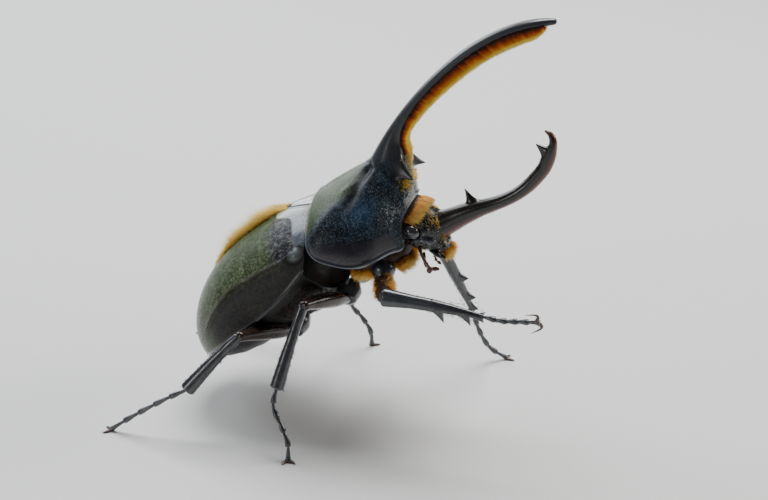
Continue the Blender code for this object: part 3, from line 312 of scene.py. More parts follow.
def plate(outer, wall, paint=None, round_edge=0.2):
    """A curved plate: an outer grid, the same grid set in by its wall along the normals, and rounded edges.

    Each row is a closed loop: out along the outer face, round the edge and back along the inner face.
    """
    normals = along_normals(outer)
    if normals[outer.shape[0] // 2, outer.shape[1] // 2, 2] < 0:
        normals = -normals
    inner = outer - wall * normals
    out_way = unit(outer[:, -1] - outer[:, -2])
    edge = (outer[:, -1] + inner[:, -1]) / 2 + round_edge * out_way
    loop = np.concatenate([outer, edge[:, None], inner[:, ::-1]], axis=1)
    rows, columns, _ = loop.shape
    quads, quad_map = grid_faces(rows, columns)
    quad_map[..., 0] = 1 - np.abs(quad_map[..., 0] * 2 - 1)
    count = outer.shape[1]
    j = np.arange(count - 1)
    cap = vectors(j, j + 1, columns - 2 - j, columns - 1 - j)
    corner = np.array([[count - 1, count, count + 1]])
    last = (rows - 1) * columns
    caps = np.concatenate([cap[:, ::-1], cap + last])
    tris = np.concatenate([corner[:, ::-1], corner + last])
    painted = {}
    for name, values in (paint or {}).items():
        painted[name] = np.concatenate([values, values[:, -1:], values[:, ::-1]], axis=1).ravel()
    return outward({
        "points": loop.reshape(-1, 3), "quads": np.concatenate([quads, caps]), "tris": tris,
        "quad_map": np.concatenate([quad_map, np.zeros((len(caps), 4, 2))]),
        "tri_map": np.zeros((len(tris), 3, 2)), "paint": painted,
    })


def mirrored(form):
    """The same form on the other side of the middle plane."""
    return turned_round({**form, "points": form["points"] * (1, -1, 1)})


def joined(forms):
    """Several forms as one set of points and faces."""
    made = {key: np.concatenate([form[key] for form in forms]) for key in ("points", "quad_map", "tri_map")}
    starts = np.cumsum([0] + [len(form["points"]) for form in forms])
    for key in ("quads", "tris"):
        made[key] = np.concatenate([form[key] + start for form, start in zip(forms, starts)])
    made["paint"] = {
        name: np.concatenate([form["paint"].get(name, np.zeros(len(form["points"]))) for form in forms])
        for name in sorted({name for form in forms for name in form["paint"]})
    }
    return made


def beetle_origin():
    """Where the beetle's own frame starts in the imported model, in millimetres."""
    low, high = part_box("scutellum")
    return np.array((low + high) / 2) / MM - np.array(SCUTELLUM_MIDDLE)


ORIGIN = beetle_origin()


def placed(points, segment):
    """Carries points from a segment's frame into the model's: turned up by its pitch, then moved."""
    place, pitch = SEGMENTS[segment]
    c, s = math.cos(math.radians(pitch)), math.sin(math.radians(pitch))
    x, y, z = np.moveaxis(np.asarray(points, float), -1, 0)
    return (vectors(x * c - z * s, y, x * s + z * c) + np.array(place) + ORIGIN) * MM


def added(name, data):
    """Adds an object to the scene."""
    thing = bpy.data.objects.new(name, data)
    bpy.context.scene.collection.objects.link(thing)
    return thing


def add_piece(name, forms, segment, material, nodes, map_name="UVMap"):
    """Makes a piece of the beetle from closed forms, and hides the solids that it stands for."""
    form = joined(forms)
    mesh = bpy.data.meshes.new(name)
    points = placed(form["points"], segment).astype(np.float32)
    quads, tris = form["quads"], form["tris"]
    corners = np.concatenate([quads.ravel(), tris.ravel()]).astype(np.int32)
    totals = np.concatenate([np.full(len(quads), 4), np.full(len(tris), 3)])
    starts = np.concatenate([[0], np.cumsum(totals)[:-1]]).astype(np.int32)
    mesh.vertices.add(len(points))
    mesh.loops.add(len(corners))
    mesh.polygons.add(len(totals))
    mesh.vertices.foreach_set("co", points.ravel())
    mesh.loops.foreach_set("vertex_index", corners)
    mesh.polygons.foreach_set("loop_start", starts)
    mesh.update(calc_edges=True)
    layer = mesh.uv_layers.new(name=map_name)
    corner_map = np.concatenate([form["quad_map"].reshape(-1, 2), form["tri_map"].reshape(-1, 2)])
    layer.data.foreach_set("uv", corner_map.astype(np.float32).ravel())
    for key, values in form["paint"].items():
        layer = mesh.attributes.new(key, "FLOAT", "POINT")
        layer.data.foreach_set("value", values.astype(np.float32))
    mesh.shade_smooth()
    mesh.materials.append(material)
    piece = added(name, mesh)
    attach(piece, "root")
    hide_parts(*nodes)


# General forms


def round_ends(grid, start_reach, end_reach, steps=5):
    """Adds rings that close each end like half an oval ball, so far out from it, and finds its tips."""
    def cap(ring, before, reach):
        middle = ring.mean(axis=0)
        way = unit(middle - before.mean(axis=0))
        a = np.linspace(0, math.pi / 2, steps + 1)[1:-1, None, None]
        return middle + (ring - middle) * np.cos(a) + way * reach * np.sin(a), middle + way * reach

    start, start_tip = cap(grid[0], grid[1], start_reach)
    end, end_tip = cap(grid[-1], grid[-2], end_reach)
    return np.concatenate([start[::-1], grid, end]), (start_tip, end_tip)


def rounded_tube(grid, start_reach, end_reach, paint=None):
    """A closed form from rings, with rounded ends."""
    rings, (start, end) = round_ends(grid, start_reach, end_reach)
    more = ((len(rings) - len(grid)) // 2,) * 2, (0, 0)
    painted = {name: np.pad(values, more, mode="edge") for name, values in (paint or {}).items()}
    return closed_tube(rings, start, end, painted)


def spike(root, tip, radius, flatness=0.8, hook=(0, 0, 0), count=26, sides=22, flare=0.35):
    """A tapered, hooked point such as a tooth, spur or claw, a little flared where it leaves its root.

    The radius falls as (1 - s)^0.8, with the flare e^(-s / 0.16) added at the root.
    """
    s = np.linspace(0, 1, count) ** 1.1
    root, tip, hook = floats(root, tip, hook)
    line = root + (tip - root) * s[:, None] + np.sin(math.pi * s)[:, None] * hook
    radii = radius * ((1 - s) ** 0.8 * 0.95 + 0.05 + flare * np.exp(-s / 0.16))
    way = unit(np.cross(tip - root, (0.31, 0.22, 0.93)))
    return rounded_tube(swept(line, radii, radii * flatness, way, sides), radius * 0.1, radius * 0.08)


def ball(centre, radii, sides=48, count=32):
    """An oval ball with its poles fore and aft."""
    a = np.linspace(-math.pi / 2, math.pi / 2, count + 2)[1:-1, None]
    b = turns(sides)
    rx, ry, rz = radii
    grid = centre + vectors(rx * np.sin(a), ry * np.cos(a) * np.cos(b), rz * np.cos(a) * np.sin(b))
    return closed_tube(grid, centre - np.array((rx, 0, 0)), centre + np.array((rx, 0, 0)))


def limb(points, bow, profile, flatness, flat_way, count, sides=36):
    """A leg segment along a line through points, with profile as its half thickness from end to end."""
    path = bent_path(points, count, bow)
    half = through(np.linspace(0, 1, len(profile)), profile, np.linspace(0, 1, count))
    rings = swept(path, half, half * flatness, flat_way, sides, 2.1)
    return rounded_tube(rings, half[0] * 0.45, half[-1] * 0.45)


def pulled(points, foot, tip, way, reach, power):
    """Draws a surface out into a tooth that runs smoothly into it.

    Each point moves from foot towards tip by (1 - d)^power, where d is its distance
    from foot: over reach[0] along the way given, reach[1] against it and reach[2] aside.
    """
    foot, tip, way = *floats(foot, tip), unit(way)
    offset = points - foot
    along = offset @ way
    aside = np.linalg.norm(offset - along[..., None] * way, axis=-1)
    d = np.hypot(np.where(along > 0, along / reach[0], -along / reach[1]), aside / reach[2])
    return points + (np.clip(1 - d, 0, 1) ** power)[..., None] * (tip - foot)


def line_distance(points, line):
    """The distance from each point to a line of straight pieces."""
    line = np.asarray(line, float)
    a, b = line[:-1], line[1:]
    way = b - a
    offset = points[..., None, :] - a
    share = np.clip((offset * way).sum(-1) / (way * way).sum(-1), 0, 1)
    return np.linalg.norm(offset - share[..., None] * way, axis=-1).min(axis=-1)


# Wing cases, scutellum and trunk


def case_section(x):
    """Half width, crest height and edge height of the wing cases at x, with 0 width at the apex."""
    x = np.asarray(x, float)
    fore = np.clip((x - CASE_WIDEST_X) / -CASE_WIDEST_X, 0, 2)
    aft = np.clip((CASE_WIDEST_X - x) / (CASE_WIDEST_X - CASE_APEX_X), 0, 1)
    narrowing = (CASE_HALF_WIDTH - CASE_SHOULDER_HALF_WIDTH) * fore**2.4
    half_width = (CASE_HALF_WIDTH - narrowing) * (1 - aft**2.3) ** 0.62
    edge = CASE_EDGE_Z + 3.6 * fore**2 - 2.3 * aft**2
    behind = np.clip((CASE_CREST_X - x) / (CASE_CREST_X - CASE_APEX_X), 0, 1)
    before = np.clip((x - CASE_CREST_X) / (CASE_FRONT - CASE_CREST_X), 0, 1.2)
    crest_fore = CASE_EDGE_Z + CASE_HEIGHT - 3.3 * before**3
    crest_aft = edge + CASE_HEIGHT * np.sqrt(1 - behind**2)
    return half_width, np.where(x > CASE_CREST_X, crest_fore, crest_aft), edge


def case_height(x, y):
    """How high the vault of the wing cases stands at x and y."""
    half_width, crest, edge = case_section(x)
    share = np.clip(np.abs(y) / half_width, 0, 1)
    return edge + (crest - edge) * (1 - share**CASE_FULLNESS) ** (1 / CASE_FULLNESS)


def scutellum_width(x):
    """The scutellum's width at x, as a share of its greatest."""
    return np.sqrt(np.clip((x - SCUTELLUM_TIP_X) / (CASE_FRONT - SCUTELLUM_TIP_X), 0, 1))


def seam_edge(x):
    """How far from the middle a wing case's inner edge runs: round the scutellum, then by the seam."""
    return CASE_SEAM + (SCUTELLUM_HALF_WIDTH + SCUTELLUM_GAP) * scutellum_width(x)


def case_vault(along, across):
    """One wing case's smooth outer face from the seam to the side edge, and its front's x.

    Across, it is a superellipse read by an angle that ends at a right angle. Along,
    x goes with the sine of a turn, so that the rows crowd where the vault turns down.
    """
    u = np.linspace(0, 1, along)[:, None]
    v = np.linspace(0, 1, across)[None, :]
    x_front = CASE_FRONT - 0.6 * v - 5.6 * v**5
    reach = CASE_CREST_X - CASE_APEX_X
    turn_front = np.arcsin((CASE_CREST_X - x_front) / reach)
    x = CASE_CREST_X - reach * np.sin(turn_front + (math.radians(CASE_REAR_TURN) - turn_front) * u)
    half_width, crest, edge = case_section(x)
    share = 2 / CASE_FULLNESS
    start = np.arcsin(np.clip(seam_edge(x) / half_width, 0, 1) ** (1 / share))
    b = start + (math.pi / 2 - start) * v
    y = half_width * np.sin(b) ** share
    return vectors(x, y, edge + (crest - edge) * np.maximum(np.cos(b), 0) ** share), x_front


def case_surface(along, across):
    """One wing case's outer face and the values painted on it.

    The callus, ridge, grooves and beads are bells added along the normals.
    """
    base, x_front = case_vault(along, across)
    x, y, z = np.moveaxis(base, -1, 0)
    v = np.linspace(0, 1, across)[None, :]
    inner = seam_edge(x)
    from_front = x_front - x
    steps = np.linalg.norm(np.diff(base, axis=1), axis=-1)
    rise = np.concatenate([np.cumsum(steps[:, ::-1], axis=1)[:, ::-1], 0 * x[:, -1:]], axis=1)
    ridge_rise = through(*RIDGE, x) + 0.12 * np.sin(x * 0.55) + 0.05 * np.sin(x * 1.7 + 1)
    above_ridge = rise - ridge_rise
    off_callus = np.hypot(y - CALLUS[1], z - CALLUS[2])
    callus = np.exp(-(((x - CALLUS[0]) / 2.5) ** 2) - (off_callus / 1.7) ** 2)
    behind_callus = smooth(-1.0, -4.5, x) * smooth(-38.0, -30.0, x)
    ridge = bump(above_ridge, 0, 0.8) * behind_callus
    groove = (bump(above_ridge, -2.0, 1.1) + 0.5 * bump(above_ridge, 1.7, 0.8)) * behind_callus
    side_bead = smooth(0.955, 0.985, v)
    seam_bead = bump(y - inner, 0.35, 0.4)
    seam_line = bump(y - inner, 1.1, 0.3)
    front_bead = bump(from_front, 0.3, 0.3)
    swell = 0.16 * np.sin(x * 0.33 + y * 0.2) * np.sin(y * 0.42 + 0.6) * smooth(0, 0.2, v)
    raised = 1.15 * callus + 0.3 * ridge - 0.12 * groove + 0.26 * side_bead + 0.12 * seam_bead
    raised = raised - 0.1 * seam_line + 0.12 * front_bead + 0.35 * swell
    normals = along_normals(base)
    normals = normals * np.sign(normals[along // 2, across // 3, 2])
    border = through(*BAND_BORDER, y)
    paint = {
        # Where the pale painted reflection lies, before its border
        "base_band": smooth(border - 0.5, border + 0.5, x) * smooth(-1.2, 0.2, above_ridge),
        "base_shade": smooth(border + 0.5, border - 0.5, x) * smooth(-6.6, -3.6, x + 0.08 * y)
        * smooth(5.2, 7.2, y) * smooth(-0.5, 0.6, above_ridge),
        "side_band": smooth(-0.5, -1.3, above_ridge) * smooth(-36, -31, x),
        "rear": smooth(-28.5, -34.5, x + 0.12 * y),
        "ridge": bump(above_ridge, 0.0, 1.2) * behind_callus,
        # Painted highlight on the callus, and a ring of painted shade round it
        "callus": smooth(0.35, 0.75, callus),
        "callus_ring": bump(callus, 0.22, 0.13),
        "rim": np.clip(side_bead + 0.9 * bump(from_front, 0.15, 0.2) + bump(y - inner, 0.1, 0.25), 0, 1),
        "height": np.clip(above_ridge / 22.0, 0, 1),
    }
    return base + raised[..., None] * normals, paint


def scutellum_surface():
    """The shield between the wing cases' bases, with a raised rim and a shallow middle."""
    u = np.linspace(0, 1, 60)[:, None]
    v = np.linspace(-1, 1, 61)[None, :]
    front, tip = CASE_FRONT + 0.6, SCUTELLUM_TIP_X + 0.8
    x = front + (tip - front) * u
    y = (SCUTELLUM_HALF_WIDTH - 0.1) * scutellum_width(x) * v
    z = case_height(x, y) + 0.14 * smooth(0.74, 0.95, np.abs(v)) - 0.12 * bump(v, 0, 0.5)
    return vectors(x, y, z), {"rim": smooth(0.8, 0.95, np.abs(v)) + 0 * u}


def trunk_rings(stations, sides):
    """Rings of the trunk: the vault under the wing cases above, and the belly below."""
    x = np.asarray(stations, float)
    half_width, crest, edge = case_section(x - 0.9)
    half_width = np.maximum(half_width - TRUNK_INSET, 0.8)
    rise = np.maximum(crest - CASE_WALL - 0.6 - edge, 0.6)
    aft = np.clip((METATHORAX_REAR_X - x) / (METATHORAX_REAR_X - CASE_APEX_X), 0, 1)
    fore = np.clip((x - METATHORAX_REAR_X) / -METATHORAX_REAR_X, 0, 1)
    drop = BELLY_DEPTH * (1 - aft**2.6) ** 0.7 + 1.4 * fore
    a = turns(sides)
    above = np.sin(a) > -TINY
    c, s = rounded(a, np.where(above, CASE_FULLNESS, BELLY_FULLNESS))
    y = half_width[:, None] * c
    z = edge[:, None] + np.where(above, rise[:, None] * s, drop[:, None] * s)
    return vectors(x[:, None], y, z)


def trunk_surface():
    """The trunk's skin from the waist to its end, with overlapping plates below.

    Each plate's height goes with its share from front to rear, and drops back at its rear edge.
    """
    sides = 120
    reach = CASE_CREST_X - CASE_APEX_X
    bounds = np.arcsin((CASE_CREST_X - np.array((TRUNK_FRONT_X, TRUNK_REAR_X))) / reach)
    rings = trunk_rings(CASE_CREST_X - reach * np.sin(np.linspace(*bounds, 170)), sides)
    a = turns(sides)
    c, s = rounded(a, 2.3)
    x, z = 0.6, -0.6 + np.where(s > 0, 8.2, 6.6) * s
    bend = math.radians(SEGMENTS["abdomen"][1] - SEGMENTS["prothorax"][1])
    ahead, up = math.cos(bend), math.sin(bend)
    front = vectors(x * ahead + z * up, 12.6 * c, z * ahead - x * up)
    neck = front + (rings[0] - front) * smooth(0, 1, np.linspace(0, 1, 18)[:-1, None, None])
    x = rings[..., 0]
    below = smooth(0.05, -0.35, np.sin(a))[None, :]
    share = (METATHORAX_REAR_X - x) / (METATHORAX_REAR_X - PYGIDIUM_X) * BELLY_PLATES
    part = share - np.floor(share)
    plates = (0.75 * part - 0.75 * smooth(0.9, 1.0, part)) * smooth(-0.1, 0.1, share)
    middle = bump(rings[..., 1], 0, 0.5) * smooth(METATHORAX_REAR_X - 0.5, METATHORAX_REAR_X + 2, x)
    rings = rings + ((0.42 * plates - 0.3 * middle) * below)[..., None] * outer_normals(rings)
    return np.concatenate([neck, rings])


# Prothorax with the great horn


def margin_curve(angles):
    """The pronotum's edge, read by the angle round the horn: 0 behind, 180 in front."""
    knots = (-22, 0, 22, 42, 56, 66, 80, 98, 114, 128, 142, 151, 160, 168, 180, 192)
    points = (
        (1.4, -8.6, 10.2), (1.7, 0.0, 12.1), (1.4, 8.6, 10.2), (1.4, 15.0, 6.1), (1.9, 17.9, 3.0),
        (3.4, 18.9, 1.0), (7.9, 19.3, -1.4), (12.6, 18.3, -3.0), (16.4, 16.2, -3.1),
        (19.8, 12.4, -2.8), (22.8, 8.9, -2.8), (22.8, 8.6, 0.6), (23.6, 7.6, 3.9),
        (25.6, 5.0, 6.2), (26.8, 0.0, 7.2), (25.6, -5.0, 6.2),
    )
    return through(knots, points, np.abs(angles)) * vectors(1, np.sign(angles + TINY), 1)


def horn_back_line(t):
    """The line along the great horn's back, from its root on the pronotum to its tip."""
    rise, fall = math.radians(HORN_ROOT_RISE), math.radians(-HORN_TIP_FALL)
    root, tip = floats(HORN_ROOT, HORN_TIP)
    after_root = root + HORN_ROOT_HANDLE * np.array((math.cos(rise), math.sin(rise)))
    before_tip = tip - HORN_TIP_HANDLE * np.array((math.cos(fall), math.sin(fall)))
    return bezier((root, after_root, before_tip, tip), np.atleast_1d(t))


def horn_sizes(t):
    """Fore-and-aft depth and side-to-side width of the great horn."""
    knots = (0, 0.05, 0.1, 0.15, 0.22, 0.5, 0.8, 0.93, 1.0)
    depth = through(knots, (9.2, 6.6, 4.7, 3.6, 3.1, 2.8, 2.5, 2.2, 1.5), t)
    width = through(knots, (9.4, 7.6, 6.5, 5.8, 5.2, 4.4, 3.6, 2.8, 1.6), t)
    return depth, width


def horn_axes(t):
    """Back line, direction and downward normal of the great horn's sections."""
    t = np.atleast_1d(np.asarray(t, float))
    back = horn_back_line(t)
    ahead = horn_back_line(t + 0.002) - horn_back_line(t - 0.002)
    angle = np.arctan2(ahead[:, 1], ahead[:, 0]) + np.radians(HORN_ROOT_LEAN) * np.exp(-((t / 0.13) ** 2))
    along = vectors(np.cos(angle), 0, np.sin(angle))
    down = vectors(np.sin(angle), 0, -np.cos(angle))
    return vectors(back[:, 0], 0, back[:, 1]), along, down


def horn_rings(stations, angles):
    """Rings of the great horn: angle 0 on its back and 180 on its front."""
    back, _, down = horn_axes(stations)
    depth, width = horn_sizes(stations)
    a = np.radians(angles)
    side = np.sign(np.sin(a)) * np.abs(np.sin(a)) ** 0.92
    front = -np.sign(np.cos(a)) * np.abs(np.cos(a)) ** 0.92
    centre = back + down * depth[:, None] / 2
    across = side[None, :, None] * width[:, None, None] / 2 * np.array((0, 1.0, 0))
    return centre[:, None] + across + front[None, :, None] * (depth[:, None] / 2 * down)[:, None]


def dome_rings(steps, angles):
    """Rings from the pronotum's edge up over its dome to the horn's root.

    Each point follows a cubic curve that leaves the edge along the dome and arrives along the horn.
    """
    edge = margin_curve(angles)
    root = horn_rings([0.0], angles)[0]
    a = np.radians(np.abs(angles))
    behind = (np.clip(np.cos(a), 0, 1) ** 1.3)[:, None]
    before = (np.clip(-np.cos(a), 0, 1) ** 1.6)[:, None]
    beside = np.sin(a)[:, None]
    outward_way = vectors(0.10, 0.16 * np.sign(angles), 0.98)
    leave = behind * (0.93, 0, 0.37) + before * (0.05, 0, 0.9) + beside * outward_way
    span = np.linalg.norm(root - edge, axis=-1, keepdims=True)
    leave = unit(leave) * span * (1.0 + 0.10 * beside)
    rise = math.radians(DOME_RISE)
    arrive = np.array((math.cos(rise), 0, math.sin(rise))) * (7.0 + 7.0 * beside + 2.0 * behind)
    return cubic_piece(np.asarray(steps, float)[:, None, None], edge, leave, root, arrive)


CREASE = ((17.9, 4.2, 17.6), (16.0, 7.0, 15.4), (14.4, 10.2, 12.9), (12.7, 12.9, 11.4), (11.5, 14.2, 10.4))
FOLD = ((16.6, 3.5, 17.4), (14.8, 6.9, 15.4), (13.3, 8.6, 14.6), (11.0, 9.9, 13.6))
DUST_PLACES = ((1.0, (26.5, 2.6, 8.6), 3.0), (0.9, (25.8, 5.2, 6.3), 1.8), (0.55, (21.8, 9.6, 6.5), 3.4))
# Centre and width of the painted blue glint on the pronotum's side
BLUE_GLINT_PLACE = ((15.7, 13.3, 9.4), 3.6)
OLIVE_BORDER = ((0.0, 4.0, 7.0, 11.0, 13.5, 16.5), (4.0, 8.2, 11.2, 12.6, 13.9, 16.6))


def bell_round(points, place, width):
    """A bell of the distance from a place."""
    return bump(np.linalg.norm(points - np.array(place), axis=-1), 0, width)


def pronotum_rings(columns, dome_rows):
    """The dome's rings, which run on into the horn's.

    Rings near their meeting are each drawn towards the mean of their neighbours, many
    times, which rounds the change of slope.
    """
    angles = np.linspace(-180, 180, columns + 1)[:-1]
    dome = dome_rings(np.linspace(0, 1, dome_rows) ** 1.35, angles)
    grid = np.concatenate([dome, horn_rings(np.linspace(0, 1, 210)[1:], angles)])
    weight = bump(np.arange(len(grid)), dome_rows - 1, 10.0)[1:-1, None, None] * 0.9
    for _ in range(90):
        grid[1:-1] += weight * ((grid[:-2] + grid[2:]) / 2 - grid[1:-1])
    return grid


def pronotum_underside(edge):
    """Rings from the middle of the pronotum's underside out to its turned-in edge, and their pole."""
    middle = np.array((PRONOTUM_MIDDLE_X, 0.0, 0.0))
    turned_in = middle + (edge - middle) * (0.93, 0.95, 0.93) - (0, 0, 0.4)
    x, y, z = (edge - middle).T
    floor = middle + vectors(x * 0.62, y * 0.72, np.minimum(z, 0) * 0.4 - 3.6)
    pole = middle - (0, 0, 5.0)
    rings = [pole + (floor - pole) * s for s in (0.25, 0.5, 0.75, 0.92)]
    rings += [floor + (turned_in - floor) * s for s in (0.0, 0.15, 0.35, 0.6, 0.8, 0.93)]
    lip = (edge + turned_in) / 2 - (0, 0, 0.16)
    return np.array(rings + [turned_in, lip]), pole


def pronotum_form():
    """The pronotum and the great horn as one skin, with the values painted on it.

    Bead, crease, fold and keels are bells added along the normals, and the teeth are pulled out.
    """
    columns, dome_rows = 200, 120
    grid = pronotum_rings(columns, dome_rows)
    row = np.arange(len(grid))
    spans = np.linalg.norm(np.diff(grid, axis=0), axis=-1)
    climb = np.concatenate([np.zeros((1, columns)), np.cumsum(spans, axis=0)])
    x, y, z = np.moveaxis(grid, -1, 0)
    side = np.abs(y)
    away = vectors(x, side, z)
    on_dome = smooth(dome_rows - 4, dome_rows - 16, row)[:, None]
    crease = line_distance(away, CREASE)
    crease_reach = on_dome * smooth(11.0, 14.0, x) * smooth(19.5, 16.8, z)
    fold = bump(line_distance(away, FOLD), 0, 1.0) * on_dome * smooth(9.5, 13.0, x)
    middle_line = bump(y, 0, 0.5) * bump(x, 7.0, 5.0) * on_dome
    bead = bump(climb, 0.3, 0.26) - 0.6 * bump(climb, 0.95, 0.25)
    raised = 0.24 * bead - 0.95 * (bump(crease, 0, 1.6) * crease_reach) + 0.4 * fold - 0.1 * middle_line
    raised = raised + 0.05 * np.sin(x * 0.8 + 1.2) * np.sin(side * 0.9) * on_dome
    keel = 0.5 * bump(line_distance(away, HORN_KEEL), 0, 0.9) * smooth(27, 19, z)
    normals = outer_normals(grid)
    olive = smooth(-1.3, 1.3, z - through(*OLIVE_BORDER, x)) * smooth(16.9, 15.6, x)
    lower_top = 4.0 - 2.0 * np.clip((x - 12) / 8, 0, 1)
    from_tooth = np.linalg.norm(away - np.array(HORN_TOOTH_FOOT) - (0, 0, 0.8), axis=-1)
    paint = {
        "olive": olive * on_dome,
        "lower": smooth(0.5, -0.7, z - lower_top) * smooth(22.5, 21, x) * on_dome,
        # The rim carries a painted highlight along the bead
        "rim": bump(climb, 0.25, 0.34),
        # Painted shade in the crease, wider than its groove
        "crease": bump(crease, 0, 2.5) * crease_reach,
        "dust": np.clip(sum(share * bell_round(away, *place) for share, *place in DUST_PLACES), 0, 1),
        # A painted blue glint about that place
        "blue": bell_round(away, *BLUE_GLINT_PLACE),
        # The horn's faces that turn sideways, where a painted sheen lies
        "flank": smooth(0.55, 0.85, np.abs(normals[..., 1])) * smooth(13, 17, z) * smooth(16.5, 19.5, x),
        "horn": np.maximum(
            smooth(dome_rows - 22, dome_rows + 8, row)[:, None], smooth(4.5, 2.0, from_tooth)
        ),
    }
    grid = grid + raised[..., None] * normals
    grid = grid + keel[..., None] * normals
    for flip in ((1, 1, 1), (1, -1, 1)):
        foot, tip = np.array((HORN_TOOTH_FOOT, HORN_TOOTH_TIP)) * flip
        grid = pulled(grid, foot, tip, (0.1, 0, 1), (5.4, 1.6, 2.6), 1.9)
    under, pole = pronotum_underside(grid[0])
    rings, (_, tip) = round_ends(np.concatenate([under, grid]), 0.01, 0.7, CAP_STEPS)
    for name, values in paint.items():
        below = np.broadcast_to(values[0] * (name == "rim"), (len(under), columns))
        beyond = np.broadcast_to(values[-1], (CAP_STEPS - 1, columns))
        paint[name] = np.concatenate([below, values, beyond])
    return closed_tube(rings[CAP_STEPS - 1:], pole, tip, paint)


def brush_reach(t):
    """How far the golden bristles stand below the great horn along its length."""
    knots = (0, 0.1, 0.2, 0.35, 0.6, 0.8, 0.9, 0.95)
    return through(knots, (1.0, 1.3, 1.9, 2.6, 3.0, 3.0, 2.3, 1.0), t)


def oval_rings(stations, sizes, knots, centre_z, slope, sides, fullness):
    """Upright rings along x from half widths, rises and drops that are known at a few places."""
    x = np.asarray(stations, float)
    half_width, rise, drop = (through(knots, values, x) for values in sizes)
    c, s = rounded(turns(sides), fullness)
    z = centre_z + slope * x[:, None] + np.where(s > 0, rise[:, None], drop[:, None]) * s
    return vectors(x[:, None], half_width[:, None] * c, z)


CHEST = ((6.0, 8.0, 12.0, 16.0, 19.5, 21.0), (5.0, 7.6, 8.6, 8.4, 6.6, 4.6), (2.0, 3.6, 4.4, 4.2, 3.2, 1.8))


def chest_surface():
    """The underside of the prothorax."""
    knots, widths, drops = CHEST
    rings = oval_rings(np.linspace(6, 21, 50), (widths, (2.4,) * 6, drops), knots, -5.6, 0.0, 72, 2.2)
    return rounded_tube(rings, 0.9, 0.9)


# Head with the lower horn


HEAD_KNOTS = (-3.6, -2.0, 0.6, 3.0, 5.2, 7.0, 8.2)
HEAD_HALF_WIDTHS = (4.4, 5.6, 6.0, 5.4, 4.4, 3.6, 3.0)
HEAD_RISES = (4.6, 5.6, 6.2, 6.2, 4.6, 2.2, 0.9)
HEAD_DROPS = (3.0, 4.2, 4.6, 4.2, 3.2, 2.0, 1.2)


def head_surface():
    """The head from its neck to the clypeus, with sockets for the eyes and a bridge before each."""
    x = np.linspace(HEAD_KNOTS[0], HEAD_KNOTS[-1], 110)
    grid = oval_rings(x, (HEAD_HALF_WIDTHS, HEAD_RISES, HEAD_DROPS), HEAD_KNOTS, 0.2, -0.05, 132, 2.2)
    away = vectors(grid[..., 0], np.abs(grid[..., 1]), grid[..., 2])
    from_eye = np.linalg.norm((away - EYE_PLACE) / (2.4, 2.0, 2.0), axis=-1)
    bridge = line_distance(away, EYE_BRIDGE)
    frontal = bump(away[..., 0], 6.2, 1.1) * smooth(0.3, 1.4, away[..., 2])
    raised = 0.42 * bump(from_eye, 1.12, 0.22) - 0.5 * smooth(1.0, 0.6, from_eye)
    raised = raised + 0.7 * bump(bridge, 0, 0.62) - 0.22 * bump(bridge, 1.3, 0.4) - 0.18 * frontal
    raised = raised + 0.3 * bump(away[..., 0], 7.9, 0.4) * smooth(-0.6, 0.2, away[..., 2])
    grid = grid + raised[..., None] * outer_normals(grid)
    # The bridge's paint lays a bluish painted highlight on that ridge
    return rounded_tube(grid, 1.2, 0.5, {"bridge": bump(bridge, 0, 0.7)})


def lower_horn_form():
    """The lower horn in one piece: ovals from its table, with a tooth behind and a fork at its tip."""
    table = np.array(LOWER_HORN)
    at = lengths_along(table[:, :2])
    x, z, deep, wide = through(at, table, np.linspace(0, at[-1], 280)).T
    path = vectors(x, 0, z)
    rings = swept(path, wide, deep, (0, 1, 0), 72, 2.1)
    out = unit(rings - rings.mean(axis=1, keepdims=True))
    ahead = unit(np.gradient(path, axis=0))
    back = vectors(-ahead[:, 2], 0, ahead[:, 0])
    for foot, tip, way, reach, power in LOWER_HORN_TEETH:
        rings = pulled(rings, foot, tip, way, reach, power)
    under = smooth(0.25, 0.8, -(out * back[:, None]).sum(-1))
    return rounded_tube(rings, 1.2, 0.25, {"under": under})


NECK_KNOTS = (-8.5, -6.5, -4.4, -2.2, -0.4)
NECK_SIZES = ((3.6, 4.8, 5.6, 5.4, 3.8), (3.2, 4.8, 6.2, 6.7, 6.6), (3.0, 3.8, 4.2, 3.6, 1.0))


def neck_surface():
    """The skin between the head and the prothorax."""
    rings = oval_rings(np.linspace(-8.5, -1.0, 40), NECK_SIZES, NECK_KNOTS, 0.9, 0.0, 64, 2.1)
    return rounded_tube(rings, 0.6, 0.4)


def thread(line, radii, sides, end):
    """A round thread along a line through points, with its radii from end to end."""
    return rounded_tube(swept(bent_path(line, len(radii)), radii, radii, (0, 1, 0), sides), 0.2, end)


